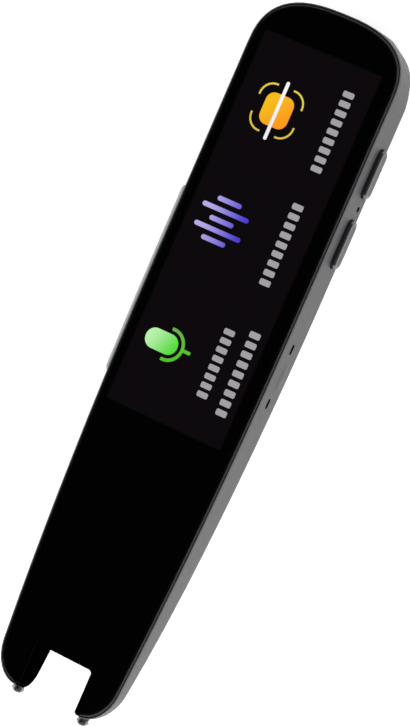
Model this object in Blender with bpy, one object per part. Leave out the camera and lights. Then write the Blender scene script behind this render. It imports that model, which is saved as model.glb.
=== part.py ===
"""A pocket scanning pen with a long screen and a forked scanning tip.

Run it with blender --background --python part.py, or from Blender's text editor.

The pen lies on its flat back. +Z leaves the glass, +Y points to the round top end and +X is the
side with the two keys. Lengths are in metres. A distance is measured along the pen from the
body's top end, a reach from the end of its tip, and a depth from the front of the glass.
"""

from math import cos, pi, radians, sin, tan

import bmesh
import bpy
from mathutils import Matrix, Vector

# Body, seen from the front
BODY_LENGTH = 0.15405
BODY_WIDTH = 0.0346
BODY_THICKNESS = 0.0120
CAP_DEPTH = 0.0129
CAP_POWER = 2.67
TAPER_START = 0.050
TAPER = 0.00358
TAPER_POWER = 2.40
TIP_CORNER_LENGTH = 0.0076
TIP_CORNER_WIDTH = 0.0057

# Body, seen from the side: flat as far as BACK_FLAT, then swept up to the tip
BACK_FLAT = 0.087
TIP_THICKNESS = 0.00567
SWEEP_POWER = 2.0
TOP_EDGE_RADIUS = 0.0033
WAIST_EDGE_RADIUS = 0.0042
TIP_EDGE_RADIUS = 0.0032
WAIST_START_SHARE = 0.39
WAIST_SHARE = 0.65
WAIST_END_SHARE = 0.95

# Rear shell
WALL = 0.0010
FLOOR = 0.0013
SEAM_DEPTH = 0.0012

# Clearances
SEAT_GAP = 0.0003
FIT_GAP = 0.0002
GLUE_GAP = 0.0001
KEY_GAP = 0.00015
OVERRUN = 0.0010
EMBED = 0.0004

# Cover glass
GLASS_THICKNESS = 0.00055
GLASS_INSET = 0.00055
GLASS_EDGE_WIDTH = 0.0006
GLASS_EDGE_DROP = 0.0003

# Front frame, whose rim shows round the glass
RIM_WIDTH = 0.00042
RIM_DROP = 0.00015
RIM_SIDE = 0.00035
RIM_CHAMFER = 0.00008
RIM_RECESS = 0.0002
WEB = 0.0003
TONGUE = 0.0004
TONGUE_DEPTH = 0.0025
TRAY_DEPTH = 0.0017

# Screen
SCREEN_TOP = 0.0087
SCREEN_REACH = 0.06205
SCREEN_LEFT_MARGIN = 0.00265
SCREEN_RIGHT_MARGIN = 0.0038
PANEL_BORDER = 0.0003
PANEL_TAIL = 0.0028
PANEL_THICKNESS = 0.00085
PANEL_CORNER = 0.0008
BACKLIGHT_THICKNESS = 0.0008
BACKLIGHT_BORDER = 0.0004

# Mid frame, with two tabs that back the trigger's springs
MID_THICKNESS = 0.0005
TAB_WIDTH = 0.0032
TAB_LENGTH = 0.0006
TAB_DROP = 0.0010

# Main board and what it carries
BOARD_THICKNESS = 0.0010
BOARD_TOP = 0.0089
BOARD_END = 0.0615
BOARD_SIDE_MARGIN = 0.0025
BOARD_NECK_WIDTH = 0.0108
BOARD_NECK_TOP = 0.0024
BOARD_CORNER = 0.0015
SHIELD_WIDTH = 0.0170
SHIELD_LENGTH = 0.0220
SHIELD_HEIGHT = 0.0015
SHIELD_TOP = 0.0200
SHIELD_CORNER = 0.0010

# Charging inlet in the top end
INLET_WIDTH = 0.00894
INLET_HEIGHT = 0.0032
INLET_LENGTH = 0.0073
INLET_WALL = 0.0003
INLET_SETBACK = 0.0007
INLET_TONGUE_WIDTH = 0.0067
INLET_TONGUE_HEIGHT = 0.0007
INLET_TONGUE_SETBACK = 0.0008

# Battery
BATTERY_TOP = 0.0670
BATTERY_SIDE_MARGIN = 0.0049
BATTERY_CORNER = 0.0015
BATTERY_EDGE = 0.0008

# Speaker and the slots in the back over it
SPEAKER_WIDTH = 0.0160
SPEAKER_LENGTH = 0.0120
SPEAKER_HEIGHT = 0.0034
SPEAKER_DISTANCE = 0.0520
SPEAKER_CORNER = 0.0020
SLOT_WIDTH = 0.0010
SLOT_LENGTH = 0.0080
SLOT_PITCH = 0.0022
SLOT_COUNT = 5

# Microphone
MICROPHONE_DEPTH = 0.0071
MICROPHONE_HOLE = 0.00065
MICROPHONE_SIDE_GAP = 0.00025
MICROPHONE_HEIGHT = 0.0015

# Keys on the right wall
POWER_DISTANCE = 0.0277
KEY_SPACE = 0.0049
KEY_DEPTH = 0.0065
KEY_LENGTH = 0.0107
KEY_HEIGHT = 0.0034
KEY_PROUD = 0.0011
KEY_ROUNDING = 0.0006
KEY_FLANGE = 0.0007
KEY_FLANGE_THICKNESS = 0.0006
KEY_NUB_RADIUS = 0.0008
KEY_NUB_LENGTH = 0.0008
KEY_TRAVEL = 0.00035
SWITCH_LENGTH = 0.0048
SWITCH_WIDTH = 0.0024
SWITCH_CORNER = 0.0003

# Strap anchor on the right wall: two slots with a crowned bridge between them
STRAP_DISTANCE = 0.0732
STRAP_PITCH = 0.0121
STRAP_DEPTH = 0.0045
STRAP_SLOT_LENGTH = 0.0023
STRAP_SLOT_WIDTH = 0.0012
STRAP_TUNNEL = 0.0014
STRAP_BLOCK_WALL = 0.0004
CROWN_LENGTH = 0.0104
CROWN_HEIGHT = 0.0050
CROWN_PROUD = 0.00022
CROWN_RADIUS_DEPTH = 0.0006

# Strip on the left wall
STRIP_DISTANCE = 0.0658
STRIP_LENGTH = 0.0419
STRIP_FRONT_DEPTH = 0.0014
STRIP_HEIGHT = 0.0056
STRIP_PROUD = 0.00115
STRIP_SINK = 0.0004
STRIP_ROUNDING = 0.0006

# Fork in the tip
FORK_DEPTH = 0.00995
FORK_HALF_WIDTH = 0.00695
FORK_CORNER = 0.0008
LIP_WIDTH = 0.0011
LIP_SETBACK = 0.00045
LIP_DEPTH = 0.0017
INSERT_REVEAL = 0.00035
INSERT_CEILING_REVEAL = 0.00015
INSERT_DRAFT = radians(3.1)
INSERT_WALL = 0.0007
INSERT_CEILING = 0.0012
INSERT_RIM_DEPTH = 0.0007
INSERT_TOP_DEPTH = 0.00125
PRONG_BLOCK_LENGTH = 0.00465
PRONG_BLOCK_WALL = 0.0006

# Scan window and camera, behind the fork's ceiling
WINDOW_WIDTH = 0.0088
WINDOW_HEIGHT = 0.0030
WINDOW_LEDGE = 0.0009
WINDOW_THICKNESS = 0.0008
CAMERA_WIDTH = 0.0104
CAMERA_LENGTH = 0.0126
CAMERA_BEVEL = 0.0004
CAMERA_HOOD_LENGTH = 0.0060
CAMERA_HOOD_HALF_WIDTH = 0.0024
LENS_RADIUS = 0.0015
LENS_LENGTH = 0.0036
LENS_BULGE = 0.0005
LENS_EDGE_RADIUS = 0.0007
LENS_LEAD = 0.0009
SENSOR_THICKNESS = 0.0008
LAMP_SIZE = 0.0014
LAMP_THICKNESS = 0.0009
LAMP_OFFSET = 0.0037

# Trigger: two shanks with clear feet, joined behind the camera
SHANK_RADIUS = 0.0012
SHANK_PROUD = 0.00035
SHANK_BORE_GAP = 0.00015
SHANK_LENGTH = 0.0032
FOOT_LENGTH = 0.00135
FOOT_FLAT_RADIUS = 0.00015
FOOT_PIN_RADIUS = 0.0005
FOOT_PIN_LENGTH = 0.0009
LEG_WIDTH = 0.0013
LEG_THICKNESS = 0.0016
LEG_GAP = 0.0003
CROSSBAR_LENGTH = 0.0020
CROSSBAR_THICKNESS = 0.0020
FINGER_WIDTH = 0.0018
FINGER_LENGTH = 0.0006
TRIGGER_TRAVEL = 0.0006
TRIGGER_SWITCH_WIDTH = 0.0036
TRIGGER_SWITCH_LENGTH = 0.0030

# Springs behind the trigger's crossbar
SPRING_OFFSET = 0.0050
SPRING_RADIUS = 0.00085
SPRING_WIRE = 0.0002
SPRING_LENGTH = 0.0044
SPRING_TURNS = 5
SPRING_STEPS = 60
SPRING_SIDES = 6

# Tip board and the ribbon to the main board
TIP_BOARD_SIDE_GAP = 0.0009
TIP_BOARD_LENGTH = 0.0064
TIP_BOARD_THICKNESS = 0.0008
TIP_BOARD_CORNER = 0.0008
RIBBON_WIDTH = 0.0016
RIBBON_THICKNESS = 0.00015
RIBBON_OVERLAP = 0.0030
RIBBON_RAMP = 0.0300
RIBBON_BOSS_GAP = 0.0008

# Screws and the bosses that they sit in
SCREW_HEAD_RADIUS = 0.0013
SCREW_HEAD_HEIGHT = 0.0005
SCREW_RADIUS = 0.0006
SCREW_LENGTH = 0.0036
SCREW_CLEARANCE = 0.0001
BOSS_WALL = 0.0008
BOSS_TOP_DISTANCE = 0.0052
BOSS_TOP_OFFSET = 0.0075
BOSS_END_MARGIN = 0.0025
BATTERY_END_GAP = 0.0006

# Fineness of the curves
CAP_STEPS = 14
SIDE_STEPS = 16
CORNER_STEPS = 8
EDGE_STEPS = 6
ARC_STEPS = 5
ROUND_SIDES = 24
ROUND_END_SHARE = 0.98
STRIP_SPLITS = 6
RIBBON_STEPS = 8
SMALL_SIDES = 16
SMOOTH_ANGLE = radians(40)

# What follows from the sizes above
HALF_WIDTH = BODY_WIDTH / 2
OVERALL_LENGTH = BODY_LENGTH + SHANK_PROUD + GLUE_GAP + FOOT_LENGTH
TOP_Y = OVERALL_LENGTH / 2
TIP_Y = TOP_Y - BODY_LENGTH

# Colours as red, green, blue, then roughness, metallic and how much light passes through
FINISHES = {
    "grey shell": ((0.165, 0.165, 0.170), 0.42, 0.0, 0.0),
    "dark rim": ((0.045, 0.045, 0.047), 0.38, 0.0, 0.0),
    "black glass": ((0.004, 0.004, 0.005), 0.05, 0.0, 0.0),
    "screen": ((0.006, 0.004, 0.006), 0.20, 0.0, 0.0),
    "black plastic": ((0.010, 0.010, 0.011), 0.35, 0.0, 0.0),
    "grey key": ((0.170, 0.170, 0.175), 0.35, 0.0, 0.0),
    "clear plastic": ((0.90, 0.92, 0.93), 0.06, 0.0, 0.9),
    "board": ((0.010, 0.060, 0.025), 0.45, 0.0, 0.0),
    "pouch": ((0.350, 0.350, 0.360), 0.40, 0.6, 0.0),
    "steel": ((0.560, 0.560, 0.570), 0.25, 1.0, 0.0),
    "white plastic": ((0.700, 0.700, 0.690), 0.45, 0.0, 0.0),
    "pale plastic": ((0.620, 0.620, 0.630), 0.35, 0.0, 0.0),
    "magnesium": ((0.300, 0.300, 0.310), 0.50, 0.8, 0.0),
    "ribbon": ((0.350, 0.110, 0.020), 0.40, 0.0, 0.0),
    "lens glass": ((0.100, 0.110, 0.180), 0.03, 0.0, 0.5),
}


# Places
def from_top(distance):
    """Y of a place this far from the body's top end."""
    return TOP_Y - distance


def from_tip(reach):
    """Y of a place this far up from the end of the body's tip."""
    return TIP_Y + reach


def at_depth(depth):
    """Z of a place this far behind the front of the glass."""
    return BODY_THICKNESS - depth


def eased(start, end, share):
    """A smooth step from start to end as share goes from 0 to 1."""
    share = min(max(share, 0.0), 1.0)
    return start + (end - start) * (1 - cos(pi * share)) / 2


def half_width(distance):
    """Half of the body's width at this distance from its top end."""
    share = max(distance - TAPER_START, 0.0) / (BODY_LENGTH - TAPER_START)
    return HALF_WIDTH - TAPER * share**TAPER_POWER


def back_height(distance):
    """Z of the back's outer surface at this distance from the top end."""
    share = max(distance - BACK_FLAT, 0.0) / (BODY_LENGTH - BACK_FLAT)
    return (BODY_THICKNESS - TIP_THICKNESS) * share**SWEEP_POWER


def edge_radius(distance):
    """Radius of the edge between back and wall at this distance from the top end."""
    share = distance / BODY_LENGTH
    if share < WAIST_SHARE:
        rise = (share - WAIST_START_SHARE) / (WAIST_SHARE - WAIST_START_SHARE)
        return eased(TOP_EDGE_RADIUS, WAIST_EDGE_RADIUS, rise)
    fall = (share - WAIST_SHARE) / (WAIST_END_SHARE - WAIST_SHARE)
    return eased(WAIST_EDGE_RADIUS, TIP_EDGE_RADIUS, fall)


# Outline of the body
def right_side():
    """Points (x, distance) down the right side, from the top's middle to the tip's straight end."""
    points = []
    for step in range(CAP_STEPS + 1):
        angle = step / CAP_STEPS * pi / 2
        across = max(sin(angle), 0.0) ** (2 / CAP_POWER)
        along = 1 - max(cos(angle), 0.0) ** (2 / CAP_POWER)
        points.append((HALF_WIDTH * across, CAP_DEPTH * along))
    corner_start = BODY_LENGTH - TIP_CORNER_LENGTH
    for step in range(1, SIDE_STEPS):
        distance = CAP_DEPTH + (corner_start - CAP_DEPTH) * step / SIDE_STEPS
        points.append((half_width(distance), distance))
    for step in range(CORNER_STEPS + 1):
        angle = step / CORNER_STEPS * pi / 2
        distance = corner_start + TIP_CORNER_LENGTH * sin(angle)
        points.append((half_width(distance) - TIP_CORNER_WIDTH * (1 - cos(angle)), distance))
    return points


def inward_normals(points):
    """Unit normals in (x, distance), pointing into the body, at each point of its right side."""
    mirrored = [(-points[1][0], points[1][1])] + points + [(-points[-1][0], points[-1][1])]
    normals = []
    for before, here, after in zip(mirrored, mirrored[1:], mirrored[2:]):
        arriving = (Vector(here) - Vector(before)).normalized()
        leaving = (Vector(after) - Vector(here)).normalized()
        heading = (arriving + leaving).normalized()
        normals.append(Vector((-heading.y, heading.x)))
    return normals


RIGHT_SIDE = right_side()
NORMALS = inward_normals(RIGHT_SIDE)


def closed_ring(half):
    """The whole ring, in world places, from (x, distance, z) points down its right half."""
    left = [(-x, distance, z) for x, distance, z in reversed(half[1:])]
    return [Vector((x, from_top(distance), z)) for x, distance, z in half + left]


def outline_ring(inset, height):
    """The body's outline moved inwards, as a level ring at this height."""
    half = []
    for (x, distance), normal in zip(RIGHT_SIDE, NORMALS):
        half.append((x + normal.x * inset, distance + normal.y * inset, height))
    return closed_ring(half)


def body_rings(inset, lift, top):
    """Rings down the body's wall and round its back edge, moved inwards and up by these amounts."""
    rings = [outline_ring(inset, top)]
    for step in range(EDGE_STEPS + 1):
        angle = step / EDGE_STEPS * pi / 2
        half = []
        for (x, distance), normal in zip(RIGHT_SIDE, NORMALS):
            radius = edge_radius(distance) - inset
            shift = inset + radius * (1 - cos(angle))
            place = distance + normal.y * shift
            height = back_height(place) + lift + radius * (1 - sin(angle))
            half.append((x + normal.x * shift, place, height))
        rings.append(closed_ring(half))
    return rings


# Making meshes
def finish_material(name, finish):
    """A Principled material of the piece's own, in one of the finishes."""
    colour, roughness, metallic, transmission = FINISHES[finish]
    material = bpy.data.materials.new(f"{name} {finish}")
    material.use_nodes = True
    shader = material.node_tree.nodes["Principled BSDF"]
    shader.inputs["Base Color"].default_value = (*colour, 1.0)
    shader.inputs["Roughness"].default_value = roughness
    shader.inputs["Metallic"].default_value = metallic
    shader.inputs["Transmission Weight"].default_value = transmission
    material.diffuse_color = (*colour, 1.0)
    return material


def piece(name, bm, finish=None, origin=(0.0, 0.0, 0.0)):
    """Turn a bmesh in world places into a smooth-shaded object with this origin."""
    bmesh.ops.recalc_face_normals(bm, faces=bm.faces)
    bmesh.ops.translate(bm, verts=bm.verts, vec=-Vector(origin))
    mesh = bpy.data.meshes.new(name)
    bm.to_mesh(mesh)
    bm.free()
    thing = bpy.data.objects.new(name, mesh)
    thing.location = origin
    bpy.context.scene.collection.objects.link(thing)
    if finish:
        mesh.materials.append(finish_material(name, finish))
    smooth(mesh)
    return thing


def smooth(mesh):
    """Shade the mesh smooth, with its sharp edges kept."""
    mesh.shade_smooth()
    mesh.set_sharp_from_angle(angle=SMOOTH_ANGLE)


def joined_rings(rings, strips=False):
    """A bmesh skin over rings of points, closed by flat caps or by strips from side to side."""
    bm = bmesh.new()
    layers = [[bm.verts.new(point) for point in ring] for ring in rings]
    count = len(rings[0])
    for upper, lower in zip(layers, layers[1:]):
        for index in range(count):
            after = (index + 1) % count
            bm.faces.new((upper[index], upper[after], lower[after], lower[index]))
    for cap in (layers[0], layers[-1]):
        if not strips:
            bm.faces.new(cap)
            continue
        for index in range(count // 2):
            corners = (cap[index], cap[index + 1], cap[count - index - 1], cap[-index])
            bm.faces.new(dict.fromkeys(corners))
    return bm


def combine(target, other, operation="DIFFERENCE"):
    """Cut, join or intersect the target with another object, which is then gone."""
    modifier = target.modifiers.new(operation.lower(), "BOOLEAN")
    modifier.operation = operation
    modifier.solver = "EXACT"
    modifier.object = other
    bake(target)
    bpy.data.objects.remove(other)


def bake(target):
    """Replace the object's mesh by the one that its modifiers make."""
    depsgraph = bpy.context.evaluated_depsgraph_get()
    mesh = bpy.data.meshes.new_from_object(target.evaluated_get(depsgraph))
    plain = target.data
    target.modifiers.clear()
    target.data = mesh
    bpy.data.meshes.remove(plain)
    smooth(mesh)


def bevelled(target, width, segments=2):
    """Round the object's sharp edges."""
    modifier = target.modifiers.new("edges", "BEVEL")
    modifier.width = width
    modifier.segments = segments
    modifier.limit_method = "ANGLE"
    bake(target)
    return target


def block(name, low, high, finish=None):
    """A box between two corners."""
    bm = bmesh.new()
    bmesh.ops.create_cube(bm, size=1.0)
    low, high = Vector(low), Vector(high)
    bmesh.ops.scale(bm, verts=bm.verts, vec=high - low)
    bmesh.ops.translate(bm, verts=bm.verts, vec=(low + high) / 2)
    return piece(name, bm, finish)


def rounded_rectangle(low, high, corner, splits=1):
    """Points (a, b) round a rectangle with rounded corners, its sides along a in equal steps."""
    centres = (
        (high[0] - corner, high[1] - corner, 0.0),
        (low[0] + corner, high[1] - corner, pi / 2),
        (low[0] + corner, low[1] + corner, pi),
        (high[0] - corner, low[1] + corner, pi * 3 / 2),
    )
    points = []
    for a, b, start in centres:
        for step in range(ARC_STEPS + 1):
            angle = start + step / ARC_STEPS * pi / 2
            points.append((a + corner * cos(angle), b + corner * sin(angle)))
        if start in (0.0, pi):
            (from_a, from_b), run = points[-1], (high[0] - low[0] - corner * 2) * (1 if start else -1)
            points += [(from_a + run * split / splits, from_b) for split in range(1, splits)]
    return points


def slab(name, low, high, corner, finish=None):
    """A flat plate between two corners, with rounded corners in plan."""
    plan = rounded_rectangle(low[:2], high[:2], corner)
    rings = [[Vector((x, y, z)) for x, y in plan] for z in (high[2], low[2])]
    return piece(name, joined_rings(rings), finish)


def turned(name, start, heading, profile, sides, finish=None, origin=(0.0, 0.0, 0.0)):
    """A round piece from (radius, place along heading) pairs, closed at both ends."""
    start, heading = Vector(start), Vector(heading)
    turn = heading.to_track_quat("Z", "Y").to_matrix().to_4x4()
    placing = Matrix.Translation(start) @ turn
    rings = []
    for radius, along in profile:
        angles = [2 * pi * side / sides for side in range(sides)]
        rings.append([placing @ Vector((radius * cos(a), radius * sin(a), along)) for a in angles])
    return piece(name, joined_rings(rings), finish, origin)


def rod(name, start, heading, radius, length, sides=SMALL_SIDES, finish=None):
    """A plain round bar."""
    return turned(name, start, heading, [(radius, 0.0), (radius, length)], sides, finish)


# Levels behind the glass
GLASS_BACK = at_depth(GLASS_THICKNESS)
WEB_TOP = GLASS_BACK - GLUE_GAP
WEB_BOTTOM = WEB_TOP - WEB
SEAM_TOP = at_depth(SEAM_DEPTH)
TONGUE_BOTTOM = at_depth(TONGUE_DEPTH)
TRAY_BOTTOM = at_depth(TRAY_DEPTH)
PANEL_TOP = GLASS_BACK - KEY_GAP
PANEL_BOTTOM = PANEL_TOP - PANEL_THICKNESS
BACKLIGHT_TOP = PANEL_BOTTOM - KEY_GAP
BACKLIGHT_BOTTOM = BACKLIGHT_TOP - BACKLIGHT_THICKNESS
MID_TOP = min(BACKLIGHT_BOTTOM, TONGUE_BOTTOM) - SEAT_GAP
MID_BOTTOM = MID_TOP - MID_THICKNESS
BOARD_FACE = MID_BOTTOM - SEAT_GAP
BOARD_BACK = BOARD_FACE - BOARD_THICKNESS
KEY_Z = at_depth(KEY_DEPTH)
PANEL_LEFT = -HALF_WIDTH + SCREEN_LEFT_MARGIN - PANEL_BORDER
PANEL_RIGHT = HALF_WIDTH - SCREEN_RIGHT_MARGIN + PANEL_BORDER
PANEL_START = SCREEN_TOP - PANEL_BORDER
PANEL_END = BODY_LENGTH - SCREEN_REACH + PANEL_TAIL

# Reaches up from the tip, one piece behind the next
INSERT_NOTCH = FORK_DEPTH - INSERT_CEILING_REVEAL
INSERT_END = INSERT_NOTCH + INSERT_CEILING
WINDOW_FRONT = INSERT_END + FIT_GAP
WINDOW_REACH = WINDOW_FRONT + WINDOW_THICKNESS
CAMERA_FRONT = WINDOW_REACH + SEAT_GAP
CAMERA_REACH = CAMERA_FRONT + CAMERA_LENGTH
SENSOR_FRONT = CAMERA_REACH + SEAT_GAP
SENSOR_REACH = SENSOR_FRONT + SENSOR_THICKNESS
CROSSBAR_FRONT = SENSOR_REACH + SEAT_GAP
CROSSBAR_REACH = CROSSBAR_FRONT + CROSSBAR_LENGTH
FINGER_REACH = CROSSBAR_REACH + FINGER_LENGTH
TRIGGER_SWITCH_FRONT = FINGER_REACH + TRIGGER_TRAVEL + GLUE_GAP
SPRING_FRONT = CROSSBAR_REACH + SEAT_GAP
TAB_FRONT = SPRING_FRONT + SPRING_LENGTH + SEAT_GAP
MID_REACH = TAB_FRONT
TIP_BOARD_REACH = TRIGGER_SWITCH_FRONT + TIP_BOARD_LENGTH
BOSS_RADIUS = SCREW_RADIUS + SCREW_CLEARANCE + BOSS_WALL
BOSS_LOW_REACH = MID_REACH + BOSS_END_MARGIN
BATTERY_REACH = max(BOSS_LOW_REACH + BOSS_RADIUS, TIP_BOARD_REACH) + BATTERY_END_GAP
BATTERY_DISTANCE = BODY_LENGTH - BATTERY_REACH

# Places across the body that follow from one another
BATTERY_HALF = HALF_WIDTH - BATTERY_SIDE_MARGIN
BOSS_LOW_OFFSET = BATTERY_HALF - SEAT_GAP - BOSS_RADIUS
TIP_BOARD_HALF = BOSS_LOW_OFFSET - BOSS_RADIUS - TIP_BOARD_SIDE_GAP
HOME_DISTANCE = POWER_DISTANCE + KEY_LENGTH + KEY_SPACE
MICROPHONE_DISTANCE = (POWER_DISTANCE + HOME_DISTANCE) / 2
MICROPHONE_RADIUS = KEY_SPACE / 2 - KEY_FLANGE - MICROPHONE_SIDE_GAP

# Heights in the tip, between the back's floor and the tray
CAMERA_BOTTOM = back_height(BODY_LENGTH - CAMERA_FRONT) + FLOOR + SEAT_GAP
CAMERA_TOP = TRAY_BOTTOM - SEAT_GAP
CAMERA_Z = (CAMERA_BOTTOM + CAMERA_TOP) / 2
LEG_FLOOR = back_height(BODY_LENGTH - PRONG_BLOCK_LENGTH) + FLOOR
LEG_Z = (LEG_FLOOR + TRAY_BOTTOM) / 2
INSERT_RIM = at_depth(INSERT_RIM_DEPTH)
INSERT_TOP = at_depth(INSERT_TOP_DEPTH)


def insert_half_width(height):
    """Half of the opening between the prongs at this height, where it narrows to the back."""
    return FORK_HALF_WIDTH - INSERT_REVEAL - (INSERT_RIM - height) * tan(INSERT_DRAFT)


SHANK_BORE = SHANK_RADIUS + SHANK_BORE_GAP
LINING = FORK_HALF_WIDTH - INSERT_REVEAL + INSERT_WALL
FOOT_X = LINING - INSERT_WALL / 2 + LEG_GAP + LEG_WIDTH / 2 + SHANK_BORE_GAP
PRONG_BLOCK_HALF = FOOT_X + SHANK_BORE + PRONG_BLOCK_WALL
FRAME_FORK_HALF = LINING + SEAT_GAP


def notch_ring(half, reach, corner, height):
    """A ring round a square notch open at the tip, with rounded inner corners."""
    low = (-half, from_tip(0.0) - SHANK_PROUD - OVERRUN)
    points = [(-half, low[1]), (half, low[1])]
    for centre_x, start in ((half - corner, 0.0), (corner - half, pi / 2)):
        for step in range(ARC_STEPS + 1):
            angle = start + step / ARC_STEPS * pi / 2
            centre_y = from_tip(reach) - corner
            points.append((centre_x + corner * cos(angle), centre_y + corner * sin(angle)))
    return [Vector((x, y, height)) for x, y in points]


def notch_cutter(half, reach, corner):
    """A cutter for a square notch through the whole thickness."""
    heights = (BODY_THICKNESS + OVERRUN, -OVERRUN)
    return piece("notch", joined_rings([notch_ring(half, reach, corner, z) for z in heights]))


def lip_relief():
    """A cutter that sets the fork's inner lip back a little from the tip, at the front only."""
    half = FORK_HALF_WIDTH + LIP_WIDTH
    low = (-half, from_tip(0.0) - OVERRUN, at_depth(LIP_DEPTH))
    return block("lip", low, (half, from_tip(LIP_SETBACK), BODY_THICKNESS + OVERRUN))


# Outer pieces
def rear_shell():
    """The grey body: a hollow tray with the windows for keys, inlet, strap and speaker."""
    outside = joined_rings(body_rings(0.0, 0.0, SEAM_TOP), strips=True)
    shell = piece("rear_shell", outside, "grey shell")
    cavity = body_rings(WALL, FLOOR, BODY_THICKNESS + OVERRUN)
    combine(shell, piece("cavity", joined_rings(cavity, strips=True)))
    add_bosses(shell)
    add_strap_anchor(shell)
    cut_fork(shell)
    for distance in (POWER_DISTANCE, HOME_DISTANCE):
        combine(shell, key_window(distance))
    mouth = (INLET_WIDTH / 2 + KEY_GAP, INLET_HEIGHT / 2 + KEY_GAP)
    combine(shell, inlet_shape(*mouth, -OVERRUN, CAP_DEPTH / 2))
    hole = (HALF_WIDTH + OVERRUN, from_top(MICROPHONE_DISTANCE), at_depth(MICROPHONE_DEPTH))
    combine(shell, rod("hole", hole, (-1, 0, 0), MICROPHONE_HOLE, WALL + OVERRUN * 2))
    cut_speaker_slots(shell)
    combine(shell, strip_shape(STRIP_SINK, GLUE_GAP, OVERRUN))


def screw_places():
    """X and Y of the four screws, by name."""
    top_y, low_y = from_top(BOSS_TOP_DISTANCE), from_tip(BOSS_LOW_REACH)
    return {
        "screw_top_left": (-BOSS_TOP_OFFSET, top_y),
        "screw_top_right": (BOSS_TOP_OFFSET, top_y),
        "screw_low_left": (-BOSS_LOW_OFFSET, low_y),
        "screw_low_right": (BOSS_LOW_OFFSET, low_y),
    }


def add_bosses(shell):
    """Four posts that rise from the floor to the mid frame, bored for the screws."""
    top = MID_BOTTOM - SEAT_GAP
    for x, y in screw_places().values():
        bottom = back_height(TOP_Y - y) + FLOOR - EMBED
        combine(shell, rod("boss", (x, y, bottom), (0, 0, 1), BOSS_RADIUS, top - bottom), "UNION")
        bore = SCREW_RADIUS + SCREW_CLEARANCE
        start = MID_TOP - SCREW_LENGTH - SEAT_GAP
        combine(shell, rod("bore", (x, y, start), (0, 0, 1), bore, top - start + OVERRUN))


def add_strap_anchor(shell):
    """A crowned bridge between two slots, with a tunnel for the strap behind it."""
    y, z = from_top(STRAP_DISTANCE), at_depth(STRAP_DEPTH)
    half_length, half_slot = STRAP_PITCH / 2, STRAP_SLOT_LENGTH / 2
    reach = half_length + half_slot
    half_height = STRAP_SLOT_WIDTH / 2
    back_x = HALF_WIDTH - WALL - STRAP_TUNNEL
    block_low = (back_x - STRAP_BLOCK_WALL, y - reach - WALL, z - half_height - STRAP_BLOCK_WALL)
    block_high = (HALF_WIDTH - WALL / 2, y + reach + WALL, z + half_height + STRAP_BLOCK_WALL)
    combine(shell, block("anchor", block_low, block_high), "UNION")
    bm = bmesh.new()
    bmesh.ops.create_uvsphere(bm, u_segments=ROUND_SIDES, v_segments=SMALL_SIDES, radius=1.0)
    crown_x = CROWN_PROUD + CROWN_RADIUS_DEPTH
    bmesh.ops.scale(bm, verts=bm.verts, vec=(crown_x, CROWN_LENGTH / 2, CROWN_HEIGHT / 2))
    centre_z = z - CROWN_HEIGHT / 2 + STRAP_SLOT_WIDTH
    centre = (half_width(STRAP_DISTANCE) - CROWN_RADIUS_DEPTH, y, centre_z)
    bmesh.ops.translate(bm, verts=bm.verts, vec=centre)
    combine(shell, piece("crown", bm), "UNION")
    tunnel_low = (back_x, y - reach, z - half_height)
    tunnel_high = (HALF_WIDTH - WALL, y + reach, z + half_height)
    combine(shell, block("tunnel", tunnel_low, tunnel_high))
    for side in (-1, 1):
        slot_y = y + side * half_length
        low, high = (slot_y - half_slot, z - half_height), (slot_y + half_slot, z + half_height)
        plan = rounded_rectangle(low, high, half_height * ROUND_END_SHARE)
        ends = (HALF_WIDTH + OVERRUN, HALF_WIDTH - WALL - STRAP_TUNNEL / 2)
        combine(shell, piece("slot", joined_rings([[Vector((x, a, b)) for a, b in plan] for x in ends])))


def cut_fork(shell):
    """The opening that the tip insert fills, all the way round it with a small gap."""
    low_y, low_z = from_tip(0.0) - OVERRUN, -OVERRUN
    top = BODY_THICKNESS + OVERRUN
    wide, narrow = PRONG_BLOCK_HALF + FIT_GAP, LINING + FIT_GAP
    wide_y, narrow_y = from_tip(PRONG_BLOCK_LENGTH) + FIT_GAP, from_tip(INSERT_END) + FIT_GAP
    combine(shell, block("wide", (-wide, low_y, low_z), (wide, wide_y, top)))
    combine(shell, block("narrow", (-narrow, low_y, low_z), (narrow, narrow_y, top)))


def cut_speaker_slots(shell):
    """A row of rounded slots through the back, over the speaker."""
    for index in range(SLOT_COUNT):
        y = from_top(SPEAKER_DISTANCE) + (index - (SLOT_COUNT - 1) / 2) * SLOT_PITCH
        low = (-SLOT_LENGTH / 2, y - SLOT_WIDTH / 2, -OVERRUN)
        high = (SLOT_LENGTH / 2, y + SLOT_WIDTH / 2, FLOOR + OVERRUN)
        combine(shell, slab("slot", low, high, SLOT_WIDTH / 2 * ROUND_END_SHARE))


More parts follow.
